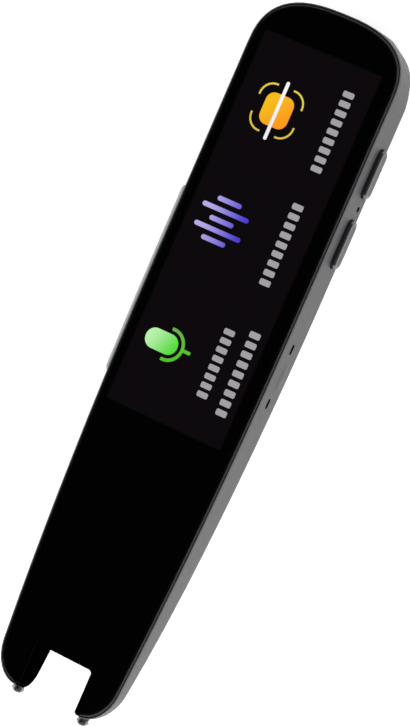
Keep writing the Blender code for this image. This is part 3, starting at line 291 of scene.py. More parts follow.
@dataclass(frozen=True)
class InkedGlass(Finish):
    """Aluminosilicate glass printed black on its back: a deep mirror, with the lit panel in it."""

    glow: str = "#0C080B"
    specular: float = 0.15
    window_low: Pair = (-14.65, -14.08)
    window_high: Pair = (13.48, 69.23)
    soft: float = 0.5
    haze: float = 9.0

    def dress(self, tree: Tree, place: Socket) -> Inputs:
        """Let the unlit panel's faint glow through a rectangle, and breathe a trace of haze on it.

        Args:
            tree: The material's nodes.
            place: The object's own coordinates.

        Returns:
            What the shader's inputs get.
        """
        axes = add_node(tree, "SeparateXYZ", {0: place}).node.outputs
        mask: Socket | float = 1.0
        for axis, (low, high) in enumerate(zip(self.window_low, self.window_high)):
            inside = band(tree, axes[axis], (low + high) / 2, (high - low) / 2, self.soft)
            mask = add_node(tree, "Math", {0: mask, 1: inside}, operation="MULTIPLY")
        light = {SHARE: mask, FIRST: BLACK, SECOND: linear(self.glow)}
        haze = add_node(tree, "TexNoise", pattern(place, self.haze, Detail=4.0))
        smear = self.gloss(haze, 0.0, 0.03) | {"From Min": 0.4, "From Max": 0.8}
        return {
            "Specular IOR Level": self.specular,
            "Emission Color": add_node(tree, "Mix", light, MIXED, data_type="RGBA"),
            "Emission Strength": 1.0,
            "Roughness": add_node(tree, "MapRange", smear),
        }


@dataclass(frozen=True)
class LitPixels(Finish):
    """Lit pixels behind the glass: a colour that runs from one end to the other, in a fine grid.

    The real pixels are 0.1 mm apart; the grid is drawn at 0.3 mm so that it shows up close.
    """

    far_colour: str
    start: Triple
    end: Triple
    pitch: float = 0.3
    grid: float = 0.94

    def dress(self, tree: Tree, place: Socket) -> Inputs:
        """Light the surface with the gradient, dimmed a little along the grid's lines.

        Args:
            tree: The material's nodes.
            place: The object's own coordinates.

        Returns:
            What the shader's inputs get.
        """
        run = mm(*self.end) - mm(*self.start)
        heading = run.normalized()
        first = mm(*self.start).dot(heading)
        along = add_node(
            tree, "VectorMath", {0: place, 1: tuple(heading)}, "Value", operation="DOT_PRODUCT"
        )
        reach = {"Value": along, "From Min": first, "From Max": first + run.length}
        share = add_node(tree, "MapRange", reach, interpolation_type="SMOOTHSTEP")
        shades = {SHARE: share, FIRST: linear(self.colour), SECOND: linear(self.far_colour)}
        blend = add_node(tree, "Mix", shades, MIXED, data_type="RGBA")
        lines = pattern(place, self.pitch) | {
            "Color1": WHITE,
            "Color2": WHITE,
            "Mortar": (self.grid, self.grid, self.grid, 1.0),
            "Mortar Size": 0.08,
            "Brick Width": 1.0,
            "Row Height": 1.0,
        }
        grid = add_node(tree, "TexBrick", lines, offset=0.0, squash=1.0)
        dimmed = {SHARE: 1.0, FIRST: blend, SECOND: grid}
        lit = add_node(tree, "Mix", dimmed, MIXED, data_type="RGBA", blend_type="MULTIPLY")
        return {"Emission Color": lit, "Emission Strength": 1.0, "Base Color": BLACK}


@dataclass(frozen=True)
class ClearPlastic(Finish):
    """Polished clear polycarbonate: sharp glints and a dark rim where it bends the light."""

    swirl: float = 0.8

    def dress(self, tree: Tree, place: Socket) -> Inputs:
        """Let the light through, with faint polishing swirls."""
        swirl = add_node(tree, "TexNoise", pattern(place, self.swirl, Detail=2.0))
        return {"Transmission Weight": 1.0, "IOR": 1.585, "Relief": (swirl, 0.1, 0.01)}


@dataclass(frozen=True)
class PlatedSteel(Finish):
    """Nickel-plated sheet or wire: bright metal with fine rolling lines along one axis."""

    line: float = 0.06
    stretch: Triple = (1.0, 0.04, 1.0)
    dark: str = "#9B9B9E"

    def dress(self, tree: Tree, place: Socket) -> Inputs:
        """Draw the rolling lines in colour, gloss and bump.

        Args:
            tree: The material's nodes.
            place: The object's own coordinates.

        Returns:
            What the shader's inputs get.
        """
        drawn = add_node(tree, "Mapping", {"Vector": place, "Scale": self.stretch})
        lines = add_node(tree, "TexNoise", pattern(drawn, self.line, Detail=3.0))
        return {
            "Metallic": 1.0,
            "Tint": (lines, self.dark, self.colour),
            "Roughness": add_node(tree, "MapRange", self.gloss(lines, 0.08, 0.1)),
            "Relief": (lines, 0.2, 0.005),
        }


@dataclass(frozen=True)
class CastAlloy(Finish):
    """Die-cast magnesium, tumbled: a dull grey metal skin with soft cloudy patches."""

    cloud: float = 3.0
    skin: float = 0.2

    def dress(self, tree: Tree, place: Socket) -> Inputs:
        """Cloud the gloss, and pit the skin finely.

        Args:
            tree: The material's nodes.
            place: The object's own coordinates.

        Returns:
            What the shader's inputs get.
        """
        cloud = add_node(tree, "TexNoise", pattern(place, self.cloud, Detail=5.0))
        skin = add_node(tree, "TexNoise", pattern(place, self.skin, Detail=2.0))
        return {
            "Metallic": 1.0,
            "Roughness": add_node(tree, "MapRange", self.gloss(cloud, 0.1, 0.15)),
            "Relief": (skin, 0.4, 0.02),
        }


@dataclass(frozen=True)
class PrintedBoard(Finish):
    """FR-4 laminate under green solder mask: copper tracks show as a paler green relief."""

    track_colour: str = "#1F6B3C"
    track: float = 0.9
    weave: float = 0.35

    def dress(self, tree: Tree, place: Socket) -> Inputs:
        """Lay tracks under the mask, over the glass cloth's weave.

        Args:
            tree: The material's nodes.
            place: The object's own coordinates.

        Returns:
            What the shader's inputs get.
        """
        lanes = pattern(place, self.track) | {
            "Color1": BLACK,
            "Color2": BLACK,
            "Mortar": WHITE,
            "Mortar Size": 0.12,
            "Mortar Smooth": 0.1,
            "Brick Width": 3.1,
            "Row Height": 0.5,
        }
        turns = {"offset": 0.35, "offset_frequency": 3, "squash": 0.6, "squash_frequency": 2}
        tracks = add_node(tree, "TexBrick", lanes, **turns)
        cloth = add_node(tree, "TexChecker", pattern(place, self.weave), "Fac")
        layers = {0: cloth, 1: 0.15, 2: tracks.node.outputs["Fac"]}
        relief = add_node(tree, "Math", layers, operation="MULTIPLY_ADD")
        return {"Tint": (tracks, self.colour, self.track_colour), "Relief": (relief, 0.5, 0.03)}


@dataclass(frozen=True)
class LaminateFoil(Finish):
    """Aluminium laminate of a pouch cell: soft dull silver, drawn tight with shallow wrinkles."""

    wrinkle: float = 5.0
    emboss: float = 0.5

    def dress(self, tree: Tree, place: Socket) -> Inputs:
        """Wrinkle the foil broadly and emboss it finely.

        Args:
            tree: The material's nodes.
            place: The object's own coordinates.

        Returns:
            What the shader's inputs get.
        """
        wrinkle = add_node(tree, "TexNoise", pattern(place, self.wrinkle, Detail=3.0))
        emboss = add_node(tree, "TexVoronoi", pattern(place, self.emboss))
        relief = add_node(tree, "Math", {0: emboss, 1: 0.12, 2: wrinkle}, operation="MULTIPLY_ADD")
        return {"Metallic": 0.85, "Relief": (relief, 0.5, 0.2)}


@dataclass(frozen=True)
class AcousticMesh(Finish):
    """Woven polyester mesh, dyed black: a fine over-and-under weave with open pores."""

    thread: float = 0.22
    pore: str = "#030303"

    def dress(self, tree: Tree, place: Socket) -> Inputs:
        """Weave two sets of threads, dark in the pores between them.

        Args:
            tree: The material's nodes.
            place: The object's own coordinates.

        Returns:
            What the shader's inputs get.
        """
        warp, weft = (
            add_node(tree, "TexWave", pattern(place, self.thread * 2), "Fac", bands_direction=axis)
            for axis in ("X", "Y")
        )
        weave = add_node(tree, "Math", {0: warp, 1: weft}, operation="MAXIMUM")
        return {"Tint": (weave, self.pore, self.colour), "Relief": (weave, 0.6, 0.05)}


@dataclass(frozen=True)
class CoatedLens(Finish):
    """Moulded lens with an anti-reflection coat: dark glass that shines violet at the edge."""

    rim_colour: str = "#4A3A86"
    ring: float = 0.6

    def dress(self, tree: Tree, place: Socket) -> Inputs:
        """Tint the glass towards its edge, with faint coating rings.

        Args:
            tree: The material's nodes.
            place: The object's own coordinates.

        Returns:
            What the shader's inputs get.
        """
        edge = add_node(tree, "LayerWeight", {"Blend": 0.6}, "Facing")
        rings = add_node(tree, "TexNoise", pattern(place, self.ring, Detail=1.0))
        share = add_node(tree, "Math", {0: edge, 1: rings}, operation="MULTIPLY")
        return {"Tint": (share, self.colour, self.rim_colour)}


@dataclass(frozen=True)
class PolyimideFilm(Finish):
    """Flexible circuit: amber polyimide film with copper conductors running along it."""

    copper: str = "#B4672A"
    pitch: float = 0.4

    def dress(self, tree: Tree, place: Socket) -> Inputs:
        """Run the conductors along the ribbon."""
        lines = add_node(tree, "TexWave", pattern(place, self.pitch * 2), "Fac", bands_direction="X")
        return {"Tint": (lines, self.colour, self.copper), "Relief": (lines, 0.3, 0.02)}


@dataclass(frozen=True)
class LampPhosphor(Finish):
    """White light-emitting chip: a yellow phosphor square in its white moulded cup."""

    phosphor: str = "#E8C53C"
    size: float = 0.45
    soft: float = 0.045
    height: float = 7.91
    powder: float = 0.1

    def dress(self, tree: Tree, place: Socket) -> Inputs:
        """Set the phosphor in the middle of the cup, with a powdery bump.

        Args:
            tree: The material's nodes.
            place: The object's own coordinates.

        Returns:
            What the shader's inputs get.
        """
        powder = add_node(tree, "TexNoise", pattern(place, self.powder, Detail=2.0))
        upward = add_node(tree, "SeparateXYZ", {0: place}, "Z")
        inside = band(tree, upward, self.height, self.size, self.soft)
        return {"Tint": (inside, self.colour, self.phosphor), "Relief": (powder, 0.3, 0.01)}


@dataclass(frozen=True)
class SweptFloor(Finish):
    """Matt white sweep of a photo table: it keeps soft shadows and ends in white."""

    lift: float = 0.6
    fibre: float = 1.5

    def dress(self, tree: Tree, place: Socket) -> Inputs:
        """Raise the sheet to white for the camera and for what mirrors it, shadows kept.

        Args:
            tree: The material's nodes.
            place: The object's own coordinates.

        Returns:
            What the shader's inputs get.
        """
        fibre = add_node(tree, "TexNoise", pattern(place, self.fibre, Detail=3.0))
        rays = add_node(tree, "LightPath").node.outputs
        seen: Socket = rays["Is Camera Ray"]
        for ray in ("Is Glossy Ray", "Is Transmission Ray"):
            seen = add_node(tree, "Math", {0: seen, 1: rays[ray]}, operation="MAXIMUM")
        return {
            "Emission Color": WHITE,
            "Emission Strength": add_node(tree, "Math", {0: seen, 1: self.lift}, operation="MULTIPLY"),
            "Specular IOR Level": 0.2,
            "Relief": (fibre, 0.05, 0.05),
        }


GREY_PAINT = SprayedPaint("satin grey sprayed paint", "#434345", 0.46)
KEY_PAINT = SprayedPaint("satin grey painted key cap", "#474749", 0.42, lift="#535356")
# Painted highlight: this bright paint stands for light caught on the keys' rims and ends and on the
# lip's upward faces.
EDGE_HIGHLIGHT_PAINT = SprayedPaint("painted highlight on key and lip edges", "#66686A", 0.36, lift="#737578")
# Painted shade: near-black on the keys' flanks, which face the glass and get little light.
FLANK_SHADE_PAINT = MouldedPlastic("painted shade on key flank", "#141517", 0.5, specular=0.3)
RIM_PLASTIC = MouldedPlastic("dark grey moulded rim", "#4A4A4C", 0.38, pebble=0.12)
PALE_PLASTIC = MouldedPlastic("pale moulded strip", "#CFCFD1", 0.42)
BLACK_PLASTIC = MouldedPlastic("black moulded plastic", "#0B0B0C", 0.42)
LINING_PLASTIC = MouldedPlastic("black lining of the fork", "#010101", 0.8, specular=0.0)
# Painted shade: the glass's sides and rounded edge are dull near-black, in place of their reflection.
GLASS_EDGE_SHADE_PAINT = MouldedPlastic("painted shade on the glass edge", "#010101", 0.6, specular=0.03)
# Painted shade: near-black in the shell's cavity, the walls of its holes, and over the tray in the gap
# round the glass.
NEAR_BLACK_SHADE_PAINT = MouldedPlastic("painted shade inside the shell and tray", "#040404", 0.6, specular=0.2)
COVER_GLASS = InkedGlass("black printed cover glass", "#020202", 0.03)
PANEL_GLASS = InkedGlass("dark polariser film", "#07060A", 0.2, glow="#0E0A0E")
FOOT_PLASTIC = ClearPlastic("smoky polished foot", "#868A8C", 0.04)
WINDOW_PLASTIC = ClearPlastic("clear window pane", "#E9EEF0", 0.03)
STEEL = PlatedSteel("nickel-plated steel", "#C9C9CC", 0.28)
SPRING_STEEL = PlatedSteel("bright spring wire", "#BDBDC2", 0.24, stretch=(1.0, 1.0, 1.0))
SCREW_STEEL = PlatedSteel("blackened screw steel", "#4A4A4E", 0.34, dark="#333336")
GOLD = PlatedSteel("gold-plated contact", "#E8C36A", 0.22, dark="#C79A3E")
MAGNESIUM = CastAlloy("die-cast magnesium", "#A8A9AC", 0.46)
BOARD = PrintedBoard("green solder mask", "#0E3D22", 0.38)
POUCH = LaminateFoil("silver pouch laminate", "#B9BABD", 0.36)
DIFFUSER = MouldedPlastic("white diffuser film", "#E4E4E1", 0.5, pebble=0.25)
LAMP = LampPhosphor("white lamp with phosphor", "#EFEFEA", 0.4)
MESH = AcousticMesh("black acoustic mesh", "#1B1B1C", 0.6)
LENS = CoatedLens("violet-coated lens", "#0B0B14", 0.03)
FILM = PolyimideFilm("amber polyimide film", "#8A4A14", 0.34)
FLOOR = SweptFloor("matt white sweep", "#F7F7F7", 0.9)


class Element(Enum):
    """The kind of mesh element that a selection picks."""

    VERTS = "VERT"
    EDGES = "EDGE"
    FACES = "FACE"


class Workpiece:
    """A mesh on the bench: it is started, shaped, dressed and fitted to the pen."""

    def __init__(self, thing: bpy.types.Object) -> None:
        """Take up an object that exists."""
        self.thing = thing

    @classmethod
    def copied(cls, node: str, name: str) -> Self:
        """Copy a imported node's mesh, with its loose triangles merged into one skin.

        Args:
            node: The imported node.
            name: What the copy is called.

        Returns:
            The copy, on the bench.
        """
        thing = bpy.data.objects.new(name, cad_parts[node].data.copy())
        bpy.context.scene.collection.objects.link(thing)
        copy = cls(thing)
        copy.edit(bpy.ops.mesh.remove_doubles, element=Element.VERTS, threshold=0.000002)
        copy.edit(bpy.ops.mesh.customdata_custom_splitnormals_clear)
        return copy.edit(bpy.ops.mesh.dissolve_limited, angle_limit=radians(0.05))

    @classmethod
    def bar(cls, name: str, low: Triple, high: Triple) -> Self:
        """Start from a cube between two corners.

        Args:
            name: What it is called.
            low: Its lowest corner.
            high: Its highest corner.

        Returns:
            The cube, on the bench.
        """
        cls.clear()
        middle, size = (mm(*low) + mm(*high)) / 2, mm(*high) - mm(*low)
        bpy.ops.mesh.primitive_cube_add(size=1.0, location=middle, scale=size)
        return cls(bpy.context.active_object).started(name)

    @classmethod
    def ball(cls, name: str, centre: Triple, radius: float) -> Self:
        """Start from a sphere with its poles along Y.

        Args:
            name: What it is called.
            centre: Its centre.
            radius: Its radius.

        Returns:
            The sphere, on the bench.
        """
        cls.clear()
        settings = {"radius": radius * 0.001, "location": mm(*centre), "rotation": (pi / 2, 0.0, 0.0)}
        bpy.ops.mesh.primitive_uv_sphere_add(segments=48, ring_count=24, **settings)
        return cls(bpy.context.active_object).started(name)

    @staticmethod
    def clear() -> None:
        """Deselect every object."""
        bpy.ops.object.select_all(action="DESELECT")

    def started(self, name: str) -> Self:
        """Name a new primitive and move its place into its mesh.

        Args:
            name: What it is called.

        Returns:
            This piece.
        """
        self.thing.name = name
        self.thing.data.name = name
        bpy.ops.object.transform_apply(location=True, rotation=True, scale=True)
        return self

    def hold(self) -> None:
        """Make this the one selected and active object."""
        self.clear()
        self.thing.select_set(True)
        bpy.context.view_layer.objects.active = self.thing

    def pick(self, element: Element, test: Pick) -> None:
        """Select the elements that pass a test, in edit mode.

        Args:
            element: The kind of element.
            test: It gets an element's centre in millimetres, and its normal or direction.
        """
        mesh = bmesh.from_edit_mesh(self.thing.data)
        every = {Element.VERTS: mesh.verts, Element.EDGES: mesh.edges, Element.FACES: mesh.faces}
        for item in every[element]:
            corners = [item] if element is Element.VERTS else list(item.verts)
            centre = sum((corner.co for corner in corners), Vector()) / len(corners) * 1000
            if element is Element.EDGES:
                heading = (corners[1].co - corners[0].co).normalized()
            else:
                heading = item.normal
            item.select_set(test(centre, heading))
        bmesh.update_edit_mesh(self.thing.data)

    def edit(
        self,
        operator: Callable[..., set[str]],
        where: Pick | None = None,
        element: Element = Element.FACES,
        **settings: object,
    ) -> Self:
        """Run one edit-mode operator on what a test picks, or on everything.

        Args:
            operator: The operator.
            where: The test for the elements that it works on.
            element: The kind of element that is picked.
            settings: The operator's own settings.

        Returns:
            This piece.
        """
        self.hold()
        bpy.ops.object.mode_set(mode="EDIT")
        bpy.ops.mesh.select_mode(type=element.value)
        bpy.ops.mesh.select_all(action="DESELECT" if where else "SELECT")
        if where:
            self.pick(element, where)
        operator(**settings)
        bpy.ops.object.mode_set(mode="OBJECT")
        return self

    def rounded(self, radius: float, steps: int, where: Pick) -> Self:
        """Bevel the edges that a test picks."""
        bevel = {"offset": radius * 0.001, "segments": steps}
        return self.edit(bpy.ops.mesh.bevel, where, Element.EDGES, **bevel)

    def modified(self, kind: str, **settings: object) -> Self:
        """Add a modifier with these settings and apply it.

        Args:
            kind: Blender's name of its type.
            settings: The modifier's own settings.

        Returns:
            This piece.
        """
        modifier = self.thing.modifiers.new(kind.lower(), kind)
        for key, value in settings.items():
            setattr(modifier, key, value)
        self.hold()
        bpy.ops.object.modifier_apply(modifier=modifier.name)
        return self

    def eased(self, width: float, steps: int = 2, over: float = 38.0) -> Self:
        """Break every edge that is sharper than an angle.

        Args:
            width: The width of the break.
            steps: The number of its faces.
            over: The angle in degrees.

        Returns:
            This piece.
        """
        settings = {"width": width * 0.001, "segments": steps, "angle_limit": radians(over)}
        return self.modified("BEVEL", limit_method="ANGLE", use_clamp_overlap=True, **settings)

    def smoothed(self, angle: float) -> Self:
        """Shade the piece smooth up to an angle, flat faces kept flat.

        Args:
            angle: The angle in degrees.

        Returns:
            This piece.
        """
        self.hold()
        bpy.ops.object.shade_smooth_by_angle(angle=radians(angle))
        return self.modified("WEIGHTED_NORMAL", keep_sharp=True)

    def twin(self, name: str, shift: Triple) -> Self:
        """Copy the piece with its own mesh, and move the copy.

        Args:
            name: What the copy is called.
            shift: How far it is moved.

        Returns:
            The copy.
        """
        mesh = self.thing.data.copy()
        mesh.transform(Matrix.Translation(mm(*shift)))
        thing = bpy.data.objects.new(name, mesh)
        bpy.context.scene.collection.objects.link(thing)
        return Workpiece(thing)

    def joined(self, others: Iterable["Workpiece"], name: str) -> Self:
        """Join other pieces into this one, and give it a name.

        Args:
            others: The other pieces.
            name: The name.

        Returns:
            This piece.
        """
        self.hold()
        for other in others:
            other.thing.select_set(True)
        bpy.ops.object.join()
        self.thing.name = name
        return self

    def painted(self, finish: Finish, where: Pick | None = None) -> Self:
        """Give a finish to the faces that a test picks, or to the whole piece.

        Args:
            finish: The finish.
            where: The test, which gets a face's centre in millimetres and its normal.

        Returns:
            This piece.
        """
        mesh = self.thing.data
        if where is None:
            mesh.materials.clear()
        mesh.materials.append(finish.material())
        for face in mesh.polygons:
            if where is None or where(face.center * 1000, face.normal):
                face.material_index = len(mesh.materials) - 1
        return self

    def fitted(self, body: str, slot: str, replaces: Iterable[str] = ()) -> Self:
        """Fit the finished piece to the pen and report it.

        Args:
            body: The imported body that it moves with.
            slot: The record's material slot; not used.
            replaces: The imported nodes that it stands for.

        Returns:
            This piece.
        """
        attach(self.thing, body)
        if replaces:
            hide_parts(*replaces)
        LOG.info("%s: %d faces on %s", self.thing.name, len(self.thing.data.polygons), body)
        return self


@dataclass
class Casing:
    """The painted rear shell, the dark rim and the pale strip on the left wall."""

    straight: float = 60.0
    middle_z: float = 6.0
    least: float = 2.0
    window_places: Pair = (50.225, 34.625)
    window_half: Pair = (5.6, 1.95)
    window_radius: float = 0.12
    wall_x: float = 17.28
    key_z: float = 5.5
    corner: Triple = (11.0, 68.0, 4.5)
    corner_pull: float = 0.45
    corner_reach: float = 4.0
    ledge_z: float = 11.0
    pressed: float = 0.1
    rim_side: Pair = (11.5, 11.77)
    rim_slope: float = 0.3
    rim_heights: Pair = (11.0, 11.42)
    rim_inset: float = 0.52
    rim_width: float = 0.36
    lip_heights: Pair = (10.8, 11.46)
    lip_width: float = 0.23
    lip_bright: float = 0.5
    edge_break: float = 0.03
    fork: Pair = (8.2, -64.0)

    def build(self) -> None:
        """Dress merged copies of the casing's nodes."""
        self.shell()
        self.tray()
        rim = self.ring("dark_rim_ring", self.rim_heights, self.rim_inset, self.rim_width)
        rim.painted(RIM_PLASTIC).fitted("body", "dark_rim")
        lip = self.ring("painted_shell_lip", self.lip_heights, 0.0, self.lip_width)
        # Painted highlight: the lip's upward faces get the bright edge paint.
        lip.painted(GREY_PAINT).painted(EDGE_HIGHLIGHT_PAINT, lambda place, normal: normal.z > self.lip_bright)
        lip.fitted("body", "grey_shell")
        strip = Workpiece.copied("side_strip", "pale_side_strip").smoothed(30.0)
        strip.painted(PALE_PLASTIC).fitted("body", "pale_plastic", ["side_strip"])

    def shell(self) -> None:
        """Round the key windows' edges, pull the far back corner in, paint the outside, and paint shade
        inside.
        """
        shell = Workpiece.copied("rear_shell", "painted_shell")
        shell.rounded(self.window_radius, 2, self.is_window_edge)
        shell.edit(
            bpy.ops.transform.translate,
            self.is_back_corner,
            Element.VERTS,
            value=mm(-self.corner_pull, -self.corner_pull, 0.0),
            use_proportional_edit=True,
            proportional_edit_falloff="SMOOTH",
            proportional_size=self.corner_reach * 0.001,
        )
        # Painted shade: the cavity and the walls of the holes are near-black.
        shell.smoothed(30.0).painted(GREY_PAINT).painted(NEAR_BLACK_SHADE_PAINT, self.is_inside)
        shell.fitted("body", "grey_shell", ["rear_shell"])

    def tray(self) -> None:
        """Press the tray's rim down to its ledge, under the ring that is drawn in its place, and paint
        it near-black as shade in the gap.
        """
        tray = Workpiece.copied("front_frame", "dark_frame_tray")
        tray.edit(
            bpy.ops.transform.resize,
            lambda place, normal: place.z > self.ledge_z + NEAR,
            Element.VERTS,
            value=(1.0, 1.0, self.pressed),
            center_override=mm(0.0, 0.0, self.ledge_z),
        )
        # Painted shade: the whole tray is near-black, for the gap round the glass.
        tray.smoothed(30.0).painted(NEAR_BLACK_SHADE_PAINT)
        tray.fitted("body", "dark_rim", ["front_frame"])

    def ring(self, name: str, heights: Pair, inset: float, width: float) -> Workpiece:
        """Make a thin ring that follows the outline, from the frame's own outer side.

        Args:
            name: What it is called.
            heights: Where it starts and ends above the back.
            inset: How far inside the outline its outer side is.
            width: How wide it is.

        Returns:
            The ring, not yet painted.
        """
        ring = Workpiece.copied("front_frame", name)
        rest: Pick = lambda place, normal: not self.is_rim_side(place, normal)
        ring.edit(bpy.ops.mesh.delete, rest, type="FACE")
        low, high = self.rim_side
        stretch = (1.0, 1.0, (heights[1] - heights[0]) / (high - low))
        ring.edit(bpy.ops.transform.resize, value=stretch, center_override=mm(0.0, 0.0, low))
        ring.edit(bpy.ops.transform.translate, value=mm(0.0, 0.0, heights[0] - low))
        if inset > 0.0:
            ring.modified("DISPLACE", strength=-inset * 0.001, mid_level=0.0)
        ring.modified("SOLIDIFY", thickness=width * 0.001, offset=-1.0, use_even_offset=True)
        return ring.eased(self.edge_break, 2, 60.0).smoothed(50.0)

    def is_rim_side(self, place: Vector, normal: Vector) -> bool:
        """Tell whether a face is part of the frame's outer side, which follows the outline.

        Args:
            place: The face's centre in millimetres.
            normal: Its normal.

        Returns:
            Whether it is.
        """
        upright = abs(normal.z) < self.rim_slope and self.rim_side[0] < place.z < self.rim_side[1]
        level = Vector((place.x, place.y, self.middle_z))
        return upright and not in_fork(place, self.fork) and not self.is_inside(level, normal)

    def is_back_corner(self, place: Vector, heading: Vector) -> bool:
        """Tell whether a vertex lies on the back's edge at the top right corner."""
        return place.x > self.corner[0] and place.y > self.corner[1] and place.z < self.corner[2]

    def is_window_edge(self, place: Vector, heading: Vector) -> bool:
        """Tell whether an edge runs round the outside of a key's window."""
        near = min(abs(place.y - y) for y in self.window_places) < self.window_half[0]
        return place.x > self.wall_x and near and abs(place.z - self.key_z) < self.window_half[1]

    def is_inside(self, place: Vector, normal: Vector) -> bool:
        """Tell whether a face of the shell gets painted shade: in the cavity, or the wall of a hole.

        Args:
            place: The face's centre in millimetres.
            normal: Its normal.

        Returns:
            Whether it is.
        """
        reach = max(abs(place.y) - self.straight, 0.0) * (1 if place.y > 0 else -1)
        outward = Vector((place.x, reach, place.z - self.middle_z)).dot(normal)
        return outward < self.least


@dataclass
class SideKeys:
    """The two oblong keys on the right wall, each with a shallow dish in its face."""

    face_x: float = 18.4
    wall_x: float = 17.25
    key_z: float = 5.5
    lip: float = 0.3
    dish: float = 0.09
    dish_half: Pair = (1.0, 0.2)
    flank_half: float = 4.5
    flank_slope: float = 0.8

    def build(self) -> None:
        """Make both keys."""
        for node, name in (("power_button", "power_key"), ("home_button", "home_key")):
            self.key(node, name)

    def key(self, node: str, body: str) -> None:
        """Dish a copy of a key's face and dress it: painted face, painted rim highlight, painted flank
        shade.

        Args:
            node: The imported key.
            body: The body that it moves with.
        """
        low, high = box_mm(node)
        middle_y = (low.y + high.y) / 2
        face: Pick = lambda place, normal: place.x > self.face_x - NEAR and normal.x > ALONG
        middle: Pick = lambda place, normal: self.is_middle(place, middle_y)
        bottom: Pick = lambda place, normal: face(place, normal) and middle(place, normal)
        flank: Pick = lambda place, normal: self.is_flank(place, normal, middle_y)
        cap = Workpiece.copied(node, f"{body}_cap")
        cap.edit(bpy.ops.mesh.inset, face, thickness=self.lip * 0.001, depth=0.0)
        cap.edit(bpy.ops.transform.translate, bottom, value=mm(-self.dish, 0.0, 0.0))
        # Painted highlight: the cap's rim and rounded ends keep the bright edge paint.
        cap.smoothed(50.0).painted(EDGE_HIGHLIGHT_PAINT)
        cap.painted(KEY_PAINT, lambda place, normal: face(place, normal) or middle(place, normal))
        # Painted shade: the flank facing the glass, and what lies below the wall, are near-black.
        cap.painted(FLANK_SHADE_PAINT, flank).fitted(body, "grey_key", [node])

    def is_flank(self, place: Vector, normal: Vector, middle_y: float) -> bool:
        """Tell whether a face gets painted shade: below the wall, or on a key's flank short of its two
        ends.
        """
        straight = abs(place.y - middle_y) < self.flank_half
        return place.x < self.wall_x or (normal.x < self.flank_slope and straight)

    def is_middle(self, place: Vector, middle_y: float) -> bool:
        """Tell whether a face lies in the middle of a key's face."""
        near = abs(place.y - middle_y) < self.dish_half[0]
        return near and abs(place.z - self.key_z) < self.dish_half[1]


